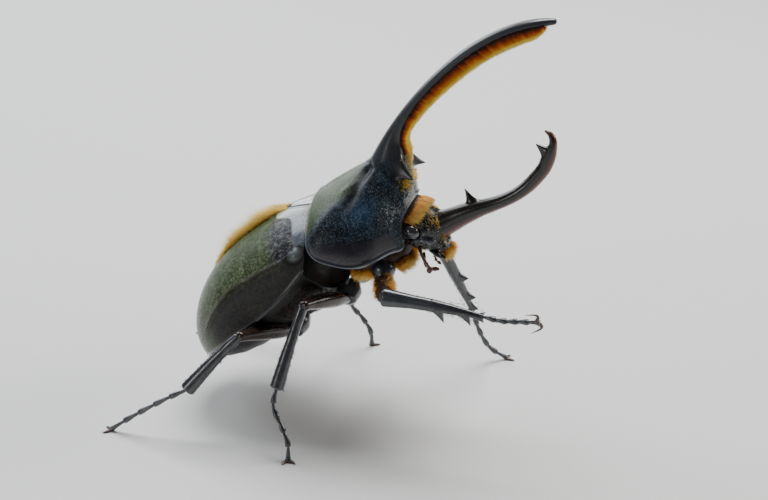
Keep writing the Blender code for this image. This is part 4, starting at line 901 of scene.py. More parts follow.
def mouth_forms(side):
    """One side's mandible, palps and antenna."""
    def at(*points):
        return [np.array(p, float) * (1, side, 1) for p in points]

    root, tip = at((5.6, 2.3, -2.2), (9.7, 1.9, -3.0))
    mandible = [spike(root, tip, 1.5, 0.7, (0, 0.9 * side, 0), flare=0.1)]
    mandible.append(spike(*at((7.6, 2.6, -2.6), (9.4, 3.3, -2.3)), 0.8, 0.8))
    beads = (0, 0.22, 0.3, 0.55, 0.62, 0.9, 1.0), (0.36, 0.52, 0.34, 0.54, 0.34, 0.56, 0.4)
    radii = through(*beads, np.linspace(0, 1, 80))
    line = at((4.0, 3.3, -3.8), (5.2, 4.3, -5.4), (7.2, 4.4, -6.2), (9.0, 3.9, -5.6))
    palps = [thread(line, radii, 20, 0.4)]
    line = at((6.4, 1.6, -3.6), (7.6, 2.0, -4.6), (8.8, 2.0, -4.9))
    palps.append(thread(line, radii * 0.75, 20, 0.3))
    line = at((2.6, 4.8, -2.4), (4.0, 6.5, -3.2), (6.0, 7.0, -4.2), (7.0, 6.8, -5.0))
    s = np.linspace(0, 1, 110)
    radii = 0.3 + 0.2 * smooth(0.3, 0.0, s) + 0.07 * np.abs(np.sin(s * math.pi * 7))
    antenna = [thread(line, radii, 18, 0.2)]
    for k in (-1, 0, 1):
        base, end = at((6.9, 6.7 + 0.34 * k, -4.9), (7.5, 6.5 + 0.5 * k, -6.1))
        antenna.append(limb([base, end], (0.1, 0, 0), (0.3, 0.66, 0.72, 0.5), 0.3, (1, 0, 0), 24, 18))
    return mandible, palps, antenna


TUFT = ((6.4, 7.4, 8.6, 9.4), (-0.4, -0.6, -0.8, -1.1), (1.9, 2.6, 2.4, 1.5), (0.9, 1.3, 1.25, 0.8))


def tuft_surface():
    """The labrum and the pad that carries the bristles of the mouth."""
    x, *rest = TUFT
    at = np.linspace(x[0], x[-1], 30)
    z, wide, deep = (through(x, values, at) for values in rest)
    return rounded_tube(swept(vectors(at, 0, z), wide, deep * 0.8, (0, 1, 0), 48), 0.3, 0.3)


# Legs


THIGH_BOW = (0, 0, 0.5)
THIGH_FLAT = (1, 0, 0.4)
SHIN_BOW = (0, 0, 0.35)
SHIN_FLAT = (0, 0.3, 1)


def claw_pair(foot, heading):
    """Two hooked claws at a foot's end on the floor, on either side of where it points."""
    foot, heading = np.array(foot, float), unit(heading)
    claws = []
    for side in unit(np.cross(heading, (0, 0, 1.0))) * np.array(((1,), (-1,))):
        tip = foot + heading * 2.4 * 0.75 + side * 1.5
        tip[2] = 0.15
        claws.append((foot - heading * 0.3, tip, side * 0.55 + heading * 0.25))
    return claws


# Teeth and spurs of the shins: how far down, direction, length and half thickness
FRONT_RIGHT_TEETH = (
    (0.575, (0.10, 0, -0.99), 4.2, 1.25), (0.84, (0.15, 0, -0.98), 3.8, 1.15),
    (0.97, (0.35, 0, -0.93), 2.4, 0.95), (0.96, (0.2, 0.9, 0.2), 2.0, 0.75),
)
FRONT_LEFT_TEETH = (
    (0.57, (0.9, 0.1, 0.42), 3.6, 1.25), (0.83, (0.9, 0.1, 0.42), 3.2, 1.15),
    (0.97, (0.9, 0.1, 0.3), 2.4, 0.95), (0.96, (-0.6, -0.6, 0.2), 2.0, 0.75),
)
SPURS = (
    (0.55, (-0.9, 0, 0.3), 1.6, 0.8), (0.96, (0.7, 0, -0.2), 3.0, 0.75), (0.95, (-0.7, 0, 0.1), 2.4, 0.75),
)

# Rear legs, as on the left: coxa, knee, ankle, line of the foot, where it points, and half shin
REAR_LEGS = {
    "middle": (
        (-7.6, 4.6, 35.6), (-7.2, 8.2, 33.4), (-14.2, 23.0, 37.2), (-19.4, 29.0, 17.6),
        (-20.0, 30.4, 13.2), (-17.8, 32.0, 9.4), (-15.6, 33.2, 4.8), (-15.3, 34.0, FOOT_HEIGHT),
        (0.35, 0.95, 0), 1.6,
    ),
    "hind": (
        (-20.6, 5.0, 25.6), (-21.0, 9.0, 23.4), (-30.3, 25.0, 27.9), (-42.6, 29.0, 14.0),
        (-47.2, 29.4, 11.4), (-52.8, 29.8, 7.9), (-58.4, 30.0, 4.1), (-63.4, 30.2, FOOT_HEIGHT),
        (-1, 0.1, 0), 1.7,
    ),
}


def leg_table():
    """Each leg's coxa, knee, ankle, line of the foot, claws, half thicknesses and teeth."""
    legs = {}
    legs["front_right"] = dict(
        coxa=((1.4, -6.2, 43.4), (2.2, -8.8, 40.4)), knee=(6.2, -23.5, 42.1), ankle=(30.7, -26.0, 41.0),
        foot=[(35.0, -26.4, 40.7), (40.0, -26.8, 41.2), (44.2, -27.0, 41.6)],
        claws=[
            ((43.6, -27.2, 41.9), (40.8, -27.9, 43.4), (1.5, -0.2, 1.0)),
            ((43.8, -26.8, 41.4), (42.0, -25.8, 38.0), (1.7, 0.2, 0.1)),
        ],
        thigh=2.5, shin=1.75, front=True, teeth=FRONT_RIGHT_TEETH,
    )
    end = (25.5, 35.0, FOOT_HEIGHT)
    legs["front_left"] = dict(
        coxa=((1.4, 6.2, 43.4), (2.2, 8.8, 40.4)), knee=(8.4, 22.5, 38.5), ankle=(17.0, 29.0, 16.2),
        foot=[(18.4, 30.4, 10.4), (21.2, 32.6, 4.2), end], claws=claw_pair(end, (0.8, 0.5, 0)),
        thigh=2.5, shin=1.75, front=True, teeth=FRONT_LEFT_TEETH,
    )
    for word, side, forward in (("right", -1, 0.0), ("left", 1, 3.0)):
        for place, (*line, heading, shin) in REAR_LEGS.items():
            line = np.array(line) * (1, side, 1)
            knee, ankle, *foot = line[2:] + (forward, 0, 0)
            legs[f"{place}_{word}"] = dict(
                coxa=line[:2], knee=knee, ankle=ankle, foot=foot,
                claws=claw_pair(foot[-1], np.array(heading) * (1, side, 1)),
                thigh=2.6, shin=shin, front=False, teeth=SPURS,
            )
    return legs


def on_floor(form):
    """Flattens whatever of a form lies below the floor, where the foot stands."""
    form["points"][:, 2] = np.maximum(form["points"][:, 2], 0)
    return form


def shin_forms(leg, knee, ankle, way):
    """A tibia, with a front leg's large teeth drawn out of it and all others set into it."""
    if leg["front"]:
        profile, merged = np.array((1.28, 1.12, 0.95, 0.9, 0.8, 0.68, 0.5, 0.34)), 3
    else:
        profile, merged = np.array((0.72, 0.8, 0.76, 0.82, 0.9, 0.98, 1.05, 1.12)), 0
    profile, knots = leg["shin"] * profile, np.linspace(0, 1, 8)
    path = bent_path([knee + way * 0.2, ankle], 200, SHIN_BOW)
    half = through(knots, profile, np.linspace(0, 1, 200))
    rings = swept(path, half, half * 0.8, SHIN_FLAT, 64, 2.35)
    for share, out, length, _ in leg["teeth"][:merged]:
        foot = knee + (ankle - knee) * share + np.array(out) * through(knots, profile, share) * 0.8
        tip = foot + np.array(out) * (length * 0.95 - 1.1) + way * 0.6
        rings = pulled(rings, foot, tip, way, (0.8, 2.8, 1.4), 1.8)
    forms = [rounded_tube(rings, half[0] * 0.5, half[-1] * 0.35)]
    for share, out, length, radius in leg["teeth"][merged:]:
        root = knee + (ankle - knee) * share
        tip = root + np.array(out) * length + way * length * 0.45
        forms.append(spike(root, tip, radius * 0.85, 0.8, np.array(out) * 0.15, flare=0.45))
    return forms


def foot_forms(path):
    """The five joints of a tarsus, each but the last with two small spurs at its end."""
    forms = []
    for k in range(5):
        part = path[k * 30:(k + 1) * 30 + 1]
        last = k == 4
        profile = (0.36, 0.42, 0.5, 0.56, 0.66, 0.78) if last else (0.34, 0.5, 0.58, 0.7, 0.82, 0.8)
        half = through(np.linspace(0, 1, 6), profile, np.linspace(0, 1, len(part)))
        forms.append(rounded_tube(swept(part, half * 0.94, half, SHIN_FLAT, 24), 0.15, 0.22))
        if not last:
            way = unit(part[-1] - part[-6])
            out = unit(np.cross(way, SHIN_FLAT))
            for turn in (-1, 1):
                root = part[-3] + out * turn * 0.35 - (0, 0, 0.25)
                tip = root + way * 1.15 + out * turn * 0.5 - (0, 0, 0.35)
                forms.append(spike(root, tip, 0.2, 1.0, sides=8, count=8))
    return [on_floor(form) for form in forms]


def leg_forms(leg):
    """One leg's coxa, femur, tibia, tarsus and claws."""
    coxa_root, coxa_end, knee, ankle = floats(*leg["coxa"], leg["knee"], leg["ankle"])
    profile = leg["thigh"] * np.array((1.1, 1.25, 0.95))
    coxa = [limb([coxa_root, coxa_end], (0, 0, 0), profile, 0.9, (1, 0, 0.3), 40)]
    thigh_way, shin_way = unit(knee - coxa_end), unit(ankle - knee)
    profile = leg["thigh"] * np.array((0.6, 0.86, 1.03, 1.05, 1.0, 0.9, 0.76, 0.7))
    femur = [limb([coxa_end + thigh_way * 0.4, knee], THIGH_BOW, profile, 0.72, THIGH_FLAT, 80, 40)]
    tibia = shin_forms(leg, knee, ankle, shin_way)
    tarsus = foot_forms(bent_path([ankle + shin_way * 0.3] + leg["foot"], 151))
    claws = [spike(*claw[:2], 0.56, 0.8, claw[2], count=36, sides=18, flare=0.2) for claw in leg["claws"]]
    return coxa, femur, tibia, tarsus, [on_floor(form) for form in claws]


# Bristles


def bristle_faces():
    """The triangles of one bristle: its foot, two bands of its three sides, and its tip."""
    faces = [(0, 2, 1)]
    for level in (0, 3):
        for j in range(3):
            k = (j + 1) % 3
            faces += [(level + j, level + k, level + 3 + k), (level + j, level + 3 + k, level + 3 + j)]
    return np.array(faces + [(6 + j, 6 + (j + 1) % 3, 9) for j in range(3)])


def bristles(roots, headings, leans, lengths, radius, patch, rng, clump=0.7, gather=0.35, stray=0.1):
    """Tapered, bending, three-sided bristles: ten corners and sixteen triangles each.

    A bristle's middle line is its root plus its length times (share x heading +
    share^2 x lean). Bristles whose roots share a cell of the clump's size share a
    draw of length, tone and lean, and gather towards each other; stray says how
    much those draws differ. patch is each root's place on the unwrapped skin.
    """
    count = len(roots)
    cells = np.floor(roots / clump + rng.uniform(-0.25, 0.25, (count, 3)))
    _, cell = np.unique(cells, axis=0, return_inverse=True)
    cell = cell.ravel()
    clumps = cell.max() + 1
    size = np.bincount(cell)
    middles = vectors(*(np.bincount(cell, part) for part in roots.T)) / size[:, None]
    shared_length = rng.uniform(1.05 - 3.2 * stray, 1.05 + 0.7 * stray, clumps)[cell]
    shared_tone = rng.uniform(0, 1, clumps)[cell]
    lengths = np.asarray(lengths, float) * shared_length
    leans = leans + rng.normal(0, stray, (clumps, 3))[cell]
    leans = leans + gather * (middles[cell] - roots) / lengths[:, None]
    share = np.array((-0.06, 0.34, 0.72))
    headings = unit(headings)
    lengths = lengths[:, None, None]
    steps = share[None, :, None]
    line = roots[:, None] + lengths * (steps * headings[:, None] + steps**2 * np.sign(steps) * leans[:, None])
    tips = roots + lengths[:, 0] * (headings + leans)
    helper = unit(rng.normal(size=(count, 3)))
    across = unit(np.cross(headings, helper))
    up = np.cross(headings, across)
    angles = turns(3)
    ring = np.cos(angles)[None, :, None] * across[:, None] + np.sin(angles)[None, :, None] * up[:, None]
    widths = radius * np.array((1.0, 0.84, 0.5))[None, :, None, None]
    widths = widths * rng.uniform(0.8, 1.25, (count, 1, 1, 1))
    rings = line[:, :, None] + widths * ring[:, None]
    points = np.concatenate([rings.reshape(count, 9, 3), tips[:, None]], axis=1)
    tris = (np.arange(count)[:, None, None] * 10 + bristle_faces()).reshape(-1, 3)
    along = np.array((0, 0, 0, 0.34, 0.34, 0.34, 0.72, 0.72, 0.72, 1.0))
    around = np.array((0, 0.33, 0.66) * 3 + (0.33,))
    own = vectors(around, along) * 0.003
    corner = patch[:, None] + own[None]
    shade = 0.6 * shared_tone + 0.4 * rng.uniform(0, 1, count)
    return outward({
        "points": points.reshape(-1, 3), "quads": np.zeros((0, 4), int), "tris": tris,
        "quad_map": np.zeros((0, 4, 2)), "tri_map": corner.reshape(-1, 2)[tris],
        "paint": {"along": np.tile(along, count), "shade": np.repeat(shade, 10)},
    })


def horn_brush(count, start, end, rng):
    """The brush under the great horn between two shares of its length."""
    t = rng.uniform(start, end, count)
    turn = rng.uniform(-1, 1, count) * (0.55 + 0.87 * smooth(0.04, 0.3, t))
    back, along, down = horn_axes(t)
    depth, width = horn_sizes(t)
    aside = np.array((0, 1.0, 0))
    roots = back + down * (depth / 2 * (1 + np.cos(turn)) - 0.1)[:, None]
    roots = roots + aside * (width / 2 * np.sin(turn) * 0.97)[:, None]
    spread = 0.2 * np.sin(turn) + rng.normal(0, 0.05, count)
    tilt = rng.normal(0.12, 0.07, count)
    headings = down + aside * spread[:, None] + along * tilt[:, None]
    leans = along * rng.normal(0.2, 0.05, count)[:, None] - aside * (0.12 * np.sin(turn))[:, None]
    extra = depth / 2 * (1 - np.cos(turn)) * 0.8
    lengths = (brush_reach(t) * (1 - 0.16 * np.abs(turn)) + extra + 0.15) * rng.uniform(0.9, 1.03, count)
    patch = vectors(t, 0.5 + turn / (2 * math.pi)) * 0.99
    return bristles(roots, headings, leans, lengths, 0.055, patch, rng, 0.5, 0.08, 0.015)


FRONT_LINE = ((26.6, 0, 9.6), (26.9, 0, 11.6), (26.7, 0, 14.2), (27.5, 0, 18.0))


def front_brush(count, rng):
    """Golden bristles down the pronotum's front, from between the teeth towards the head."""
    s = rng.uniform(0, 1, count) ** 0.6
    line = through((0, 0.3, 0.65, 1), FRONT_LINE, s)
    aside = rng.normal(0, 0.9 + 0.5 * s)
    roots = line + vectors(-0.09 * aside**2 - 0.35, aside, 0)
    below = rng.uniform(0, 1, count) < 0.35
    aside = np.where(below, rng.choice((-1, 1), count) * rng.normal(3.7, 0.8, count), aside)
    lower = vectors(26.6 - 0.075 * (np.abs(aside) - 0.5) ** 2, aside, rng.normal(11.3, 0.9, count))
    roots = np.where(below[:, None], lower, roots)
    headings = vectors(1, 0.28 * aside, 0.15 - 0.1 * s) + rng.normal(0, 0.16, (count, 3))
    leans = (0, 0, 0.15) + rng.normal(0, 0.08, (count, 3))
    lengths = rng.uniform(0.4, 0.9, count) + 0.7 * s**2
    patch = vectors(0.4 + 0.2 * s, 0.5 + aside / 40)
    return bristles(roots, headings, leans, lengths, 0.05, patch, rng)


def seam_fringe(count, side, rng):
    """The golden fringe along one side of the wing cases' seam."""
    share = rng.uniform(0, 1, count)
    x = -2.2 - 27.0 * share
    out = np.abs(rng.normal(0, 0.75, count)) + 0.1
    y = seam_edge(x) + out
    roots = vectors(x, y, case_height(x, y) - 0.05)
    reach = 4.2 * through((0, 0.12, 0.45, 0.65, 0.85, 1), (0.3, 0.9, 1.0, 0.8, 0.42, 0.14), share)
    lengths = reach * rng.uniform(0.35, 1.0, count) * np.exp(-((out / 2.1) ** 2))
    lengths = lengths * np.where(rng.uniform(0, 1, count) < 0.15, 1.35, 1.0)
    headings = vectors(rng.normal(-0.2, 0.22, count), rng.normal(0.16, 0.24, count), 1)
    leans = vectors(rng.normal(-0.42, 0.2, count), rng.normal(0, 0.12, count), -0.08)
    patch = vectors(0.05 + 0.6 * share, out / 20)
    flip = np.array((1, side, 1))
    return bristles(roots * flip, headings * flip, leans * flip, lengths, 0.04, patch, rng, 0.5, 0.3, 0.12)


def collar_bristles(count, rng):
    """The golden collar behind the head: bristles that lie forward and stand a little off the neck."""
    turn = np.radians(rng.uniform(12, 168, count))
    x = rng.uniform(-4.6, -1.9, count)
    half_width = through(NECK_KNOTS, NECK_SIZES[0], x)
    rise = through(NECK_KNOTS, NECK_SIZES[1], x)
    out = vectors(0, np.cos(turn), np.sin(turn))
    roots = vectors(x, half_width * 0.96 * np.cos(turn), 0.9 + rise * 0.97 * np.sin(turn))
    ahead = np.array((1.0, 0, 0))
    headings = ahead + out * rng.normal(0.45, 0.06, count)[:, None] + rng.normal(0, 0.04, (count, 3))
    leans = -out * rng.normal(0.12, 0.03, count)[:, None]
    patch = vectors((x + 8.5) / 8.2, turn / (2 * math.pi)) * 0.98
    return bristles(roots, headings, leans, rng.uniform(1.9, 2.9, count), 0.05, patch, rng, 0.8, 0.1, 0.03)


def chest_bristles(count, rng):
    """Golden bristles below the prothorax, before and behind the front legs."""
    knots, widths, drops = CHEST
    fore = rng.uniform(0, 1, count) < 0.5
    x = np.where(fore, rng.uniform(18.2, 20.9, count), rng.uniform(7.2, 12.6, count))
    lean = np.where(fore, 1.0, -0.35)
    out = rng.uniform(-1, 1, count)
    half_width, drop = through(knots, widths, x), through(knots, drops, x)
    y = out * half_width * 0.93
    z = -5.6 - drop * np.sqrt(1 - (y / half_width) ** 2) + 0.1
    roots = vectors(x, y, z)
    headings = vectors(0.45 * lean, 0.55 * out, -1) + rng.normal(0, 0.12, (count, 3))
    leans = vectors(0.35 * lean, 0, 0.1) + rng.normal(0, 0.06, (count, 3))
    patch = vectors((x - 6) / 15, 0.5 + out * 0.24) * 0.98
    return bristles(roots, headings, leans, rng.uniform(1.7, 3.3, count), 0.055, patch, rng)


def head_tufts(count, rng):
    """Small golden tufts on the head, before the collar and beside the lower horn's root."""
    places = ((5.2, 1.6), (6.4, 2.6), (2.0, 3.9), (3.4, 3.0), (0.6, 2.2))
    x, y = np.array(places)[rng.integers(0, len(places), count)].T
    flip = rng.choice((-1, 1), count)
    x = x + rng.normal(0, 0.55, count)
    y = (y + rng.normal(0, 0.55, count)) * flip
    half_width, rise = through(HEAD_KNOTS, HEAD_HALF_WIDTHS, x), through(HEAD_KNOTS, HEAD_RISES, x)
    z = 0.15 - 0.05 * x + rise * (1 - np.clip(np.abs(y) / half_width, 0, 0.98) ** 2.2) ** (1 / 2.2)
    roots = vectors(x, y, z)
    headings = vectors(0.5, 0.25 * y, 0.8) + rng.normal(0, 0.22, (count, 3))
    patch = vectors((x + 4) / 14, 0.5 + y / 14)
    lengths = rng.uniform(0.35, 0.8, count)
    return bristles(roots, headings, rng.normal(0, 0.12, (count, 3)), lengths, 0.032, patch, rng, 0.4)


def limb_axes(start, end, share, bow, flat_way):
    """Places along a bowed limb, its direction, and the two directions about it."""
    way = unit(end - start)
    path = start + (end - start) * share[:, None] + np.sin(math.pi * share)[:, None] * bow
    across = unit(np.array(flat_way) - way * (way @ np.array(flat_way)))
    return path, way, across, np.cross(way, across)


def thigh_bristles(leg, count, rng):
    """A golden fringe along a front femur."""
    coxa, knee = floats(leg["coxa"][1], leg["knee"])
    share = rng.uniform(0.3, 0.9, count)
    turn = rng.normal(0, 0.45, count) + rng.choice((0, math.pi), count, p=(0.7, 0.3))
    path, way, across, up = limb_axes(coxa, knee, share, THIGH_BOW, THIGH_FLAT)
    out = np.cos(turn)[:, None] * across + np.sin(turn)[:, None] * up
    roots = path + (leg["thigh"] * (1.0 - 0.2 * share))[:, None] * out * 0.93
    headings = out + 0.5 * way + rng.normal(0, 0.2, (count, 3))
    patch = vectors(share, (turn / (2 * math.pi)) % 1) * 0.98
    leans, lengths = rng.normal(0, 0.1, (count, 3)), rng.uniform(0.6, 1.5, count)
    return bristles(roots, headings, leans, lengths, 0.045, patch, rng)


def mouth_bristles(count, rng):
    """The golden brush of the mouth, which fans forward from its pad."""
    out = rng.uniform(-1, 1, count)
    turn = rng.uniform(-2.4, 1.3, count)
    x = 9.1 - 0.7 * out**2 + rng.uniform(-0.5, 0.4, count)
    roots = vectors(x, 2.2 * out, -0.95 + 0.8 * np.sin(turn))
    headings = vectors(0.9, 0.45 * out, 0.5 * np.sin(turn)) + rng.normal(0, 0.12, (count, 3))
    leans = vectors(0, 0, rng.normal(-0.26, 0.1, count))
    patch = vectors(0.5 + out * 0.4, (x - 8) / 4) * 0.98
    return bristles(roots, headings, leans, rng.uniform(1.3, 2.5, count), 0.045, patch, rng)


def waist_bristles(count, rng):
    """Orange bristles in the bend between the pronotum and the wing cases."""
    turn = np.radians(rng.uniform(20, 160, count))
    x = rng.uniform(2.5, 4.6, count)
    y = 17.3 * np.cos(turn)
    z = case_height(np.minimum(x, 4.0), y) - 1.1
    roots = vectors(x, y, z)
    headings = vectors(0.9, 0.2 * np.cos(turn), 0.55 * np.sin(turn) + 0.2) + rng.normal(0, 0.12, (count, 3))
    leans = rng.normal(0, 0.08, (count, 3))
    patch = vectors((x - 2) / 3, turn / (2 * math.pi)) * 0.98
    return bristles(roots, headings, leans, rng.uniform(0.9, 1.7, count), 0.05, patch, rng)


def leg_bristles(leg, count, rng):
    """Short stiff bristles along a tibia and under its foot."""
    knee, ankle = floats(leg["knee"], leg["ankle"])
    share = rng.uniform(0.12, 0.98, count)
    path, way, across, up = limb_axes(knee, ankle, share, SHIN_BOW, SHIN_FLAT)
    turn = rng.uniform(0, 2 * math.pi, count)
    half = leg["shin"] * (0.72 + 0.4 * share)
    out = np.cos(turn)[:, None] * across + np.sin(turn)[:, None] * up
    roots = path + half[:, None] * (np.cos(turn)[:, None] * across + 0.8 * np.sin(turn)[:, None] * up) * 0.97
    headings = out * 0.55 + way + rng.normal(0, 0.12, (count, 3))
    patch = vectors(share, turn / (2 * math.pi)) * 0.98
    leans, lengths = rng.normal(0, 0.06, (count, 3)), rng.uniform(0.45, 1.1, count)
    return bristles(roots, headings, leans, lengths, 0.045, patch, rng)


def belly_pile(count, rng):
    """Short brown pile below the thorax, between the middle and hind legs."""
    x = rng.uniform(-15.0, -3.2, count)
    turn = np.radians(rng.uniform(195, 345, count))
    ring = trunk_rings(x, 4)
    half_width = ring[:, 0, 1]
    edge, bottom = ring[:, 0, 2], ring[:, 3, 2]
    power = 2 / BELLY_FULLNESS
    y = half_width * np.sign(np.cos(turn)) * np.abs(np.cos(turn)) ** power
    z = edge + (edge - bottom) * -np.abs(np.sin(turn)) ** power
    roots = vectors(x, y, z + 0.05)
    out = vectors(0, np.cos(turn), np.sin(turn))
    headings = out * 0.6 + (-0.8, 0, 0) + rng.normal(0, 0.15, (count, 3))
    patch = vectors((x + 16) / 14, turn / (2 * math.pi)) * 0.98
    leans, lengths = rng.normal(0, 0.05, (count, 3)), rng.uniform(0.5, 1.1, count)
    return bristles(roots, headings, leans, lengths, 0.045, patch, rng)


# Materials: shared effects as node groups, each fed by its own material's values


def fill(made, values):
    """Sets or links a node's inputs, each by its name or number."""
    for key, value in values.items():
        socket = made.inputs[key]
        if isinstance(value, bpy.types.NodeSocket):
            made.id_data.links.new(value, socket)
        elif socket.type == "RGBA":
            socket.default_value = (*value[:3], 1.0)
        else:
            socket.default_value = value


class Recipe:
    """A node tree in the making: each method adds a node and returns what comes out of it."""

    def __init__(self, tree):
        self.tree = tree

    def node(self, kind, values=None, **settings):
        made = self.tree.nodes.new("ShaderNode" + kind)
        for key, value in settings.items():
            setattr(made, key, value)
        fill(made, values or {})
        return made.outputs

    def maths(self, operation, a, b, clamp=False):
        return self.node("Math", {0: a, 1: b}, operation=operation, use_clamp=clamp)[0]

    def times(self, a, b):
        return self.maths("MULTIPLY", a, b)

    def plus(self, a, b, clamp=False):
        return self.maths("ADD", a, b, clamp)

    def less(self, a, b, clamp=False):
        return self.maths("SUBTRACT", a, b, clamp)

    def most(self, a, b):
        return self.maths("MAXIMUM", a, b)

    def rest(self, a):
        """What is left of 1."""
        return self.less(1.0, a)

    def ramp(self, value, low, high):
        """Reads a value between two bounds as 0 to 1, smoothly."""
        return self.node("MapRange", {0: value, 1: low, 2: high}, interpolation_type="SMOOTHSTEP")[0]

    def noise(self, vector, scale, detail, roughness=0.5):
        values = {"Vector": vector, "Scale": scale, "Detail": detail, "Roughness": roughness}
        return self.node("TexNoise", values)[0]

    def mixed(self, share, under, over):
        """A colour between two, by a share."""
        return self.node("Mix", {0: share, 6: under, 7: over}, data_type="RGBA")[2]

    def layered(self, colour, *layers):
        """A colour with others laid over it in turn, each by its share."""
        for share, over in layers:
            colour = self.mixed(share, colour, over)
        return colour

    def painted(self, *names):
        """Values painted on the mesh's points."""
        values = [self.node("Attribute", attribute_name=name)["Fac"] for name in names]
        return values if len(values) > 1 else values[0]


def new_group(name, given, made):
    """A node group: its inputs with their values, None being a vector, and its outputs' names."""
    tree = bpy.data.node_groups.new(name, "ShaderNodeTree")
    for label, value in given.items():
        kind = "Vector" if value is None else "Color" if isinstance(value, tuple) else "Float"
        socket = tree.interface.new_socket(label, in_out="INPUT", socket_type="NodeSocket" + kind)
        if value is not None:
            socket.default_value = value
    for label in made:
        kind = "Color" if label == "Color" else "Float"
        tree.interface.new_socket(label, in_out="OUTPUT", socket_type="NodeSocket" + kind)
    return Recipe(tree), tree.nodes.new("NodeGroupInput").outputs, tree.nodes.new("NodeGroupOutput")


def pits_group():
    """Round pits scattered over a shell: cells of a Voronoi pattern, of which a share is pitted."""
    inputs = {"Vector": None, "Per millimetre": 1.2, "Size": 0.3, "Share": 0.7}
    r, given, out = new_group("Shell pits", inputs, ("Height",))
    cells = r.node("TexVoronoi", {"Vector": given["Vector"], "Scale": given["Per millimetre"]})
    picked = r.node("SeparateColor", {0: cells["Color"]})[0]
    inside = r.ramp(cells["Distance"], given["Size"], 0.02)
    mask = r.times(inside, r.maths("LESS_THAN", picked, given["Share"]))
    fill(out, {"Height": r.times(mask, -1.0)})
    return r.tree


def grain_group():
    """Fine waxy grain and slow swells of a shell's surface, with a roughness that goes with them."""
    inputs = {"Vector": None, "Fine scale": 7.0, "Slow scale": 0.5, "Roughness": 0.3, "Variation": 0.12}
    r, given, out = new_group("Shell grain", inputs, ("Height", "Roughness", "Slow"))
    fine = r.noise(given["Vector"], given["Fine scale"], 4.0)
    slow = r.noise(given["Vector"], given["Slow scale"], 3.0)
    both = r.plus(r.times(slow, 0.6), r.times(fine, 0.4))
    shift = r.times(r.less(both, 0.5), given["Variation"])
    fill(out, {"Height": fine, "Roughness": r.plus(given["Roughness"], shift, True), "Slow": slow})
    return r.tree


def speckle_group():
    """Pale grains and short dark strokes over a ground colour.

    The grains are the peaks of a fine noise, more of them where a slow noise is high,
    and the strokes the peaks of a noise stretched along the body.
    """
    inputs = {
        "Vector": None, "Ground": (0.1, 0.1, 0.05, 1), "Speck colour": (0.4, 0.4, 0.3, 1), "Specks": 0.5,
        "Speck scale": 5.0, "Stroke colour": (0.01, 0.01, 0.01, 1), "Strokes": 0.5,
    }
    r, given, out = new_group("Shell speckle", inputs, ("Color", "Height"))
    vector = given["Vector"]
    turn = {"Vector": vector, "Rotation": (0.0, math.radians(30), 0.0), "Scale": (1.0, 1.0, 2.2)}
    fine = r.noise(r.node("Mapping", turn, vector_type="TEXTURE")[0], given["Speck scale"], 2.0, 0.7)
    more = r.times(r.less(r.noise(vector, 0.5, 3.0), 0.5), 0.3)
    specks = r.ramp(r.plus(fine, more), 0.48, 0.62)
    stretched = r.node("VectorMath", {0: vector, 1: (0.55, 1.6, 0.75)}, operation="MULTIPLY")[0]
    dark = r.times(r.ramp(r.noise(stretched, 1.35, 5.0, 0.62), 0.56, 0.64), given["Strokes"])
    pale = r.mixed(r.times(specks, given["Specks"]), given["Ground"], given["Speck colour"])
    fill(out, {"Color": r.mixed(dark, pale, given["Stroke colour"]), "Height": r.less(specks, dark)})
    return r.tree


def dust_group():
    """Fine pale dust over a colour: the peaks of a fine noise, more of them as the amount rises."""
    inputs = {
        "Vector": None, "Color": (0.02, 0.02, 0.02, 1), "Dust colour": (0.5, 0.5, 0.48, 1), "Amount": 0.2,
    }
    r, given, out = new_group("Dust", inputs, ("Color",))
    dots = r.noise(given["Vector"], 3.2, 4.0, 0.7)
    reach = r.times(r.plus(r.noise(given["Vector"], 0.8, 3.0), 0.15), given["Amount"])
    mask = r.ramp(r.plus(dots, r.times(reach, 0.55)), 0.68, 0.8)
    fill(out, {"Color": r.mixed(mask, given["Color"], given["Dust colour"])})
    return r.tree


def bristle_group():
    """A bristle's colour from its root to its tip, shifted a little from bristle to bristle."""
    inputs = {
        "Root colour": (0.1, 0.03, 0.01, 1), "Middle colour": (0.6, 0.25, 0.03, 1),
        "Tip colour": (0.85, 0.6, 0.2, 1), "Root length": 0.3,
    }
    r, given, out = new_group("Bristle colour", inputs, ("Color",))
    root, middle, tip, length = (given[label] for label in inputs)
    along, shade = r.painted("along", "shade")
    moved = r.plus(along, r.times(r.less(shade, 0.5), 0.3))
    fill(out, {"Color": r.layered(
        root,
        (r.ramp(moved, r.times(length, 0.2), length), middle),
        (r.ramp(moved, 0.5, 0.95), tip),
        (r.times(r.ramp(shade, 0.35, 0.0), 0.35), root),
    )})
    return r.tree


GROUPS = {
    "pits": pits_group, "grain": grain_group, "speckle": speckle_group, "dust": dust_group,
    "bristle": bristle_group,
}


def shared(name):
    """A shared node group, built the first time that it is asked for."""
    label = "beetle_" + name
    if label not in bpy.data.node_groups:
        GROUPS[name]().name = label
    return bpy.data.node_groups[label]


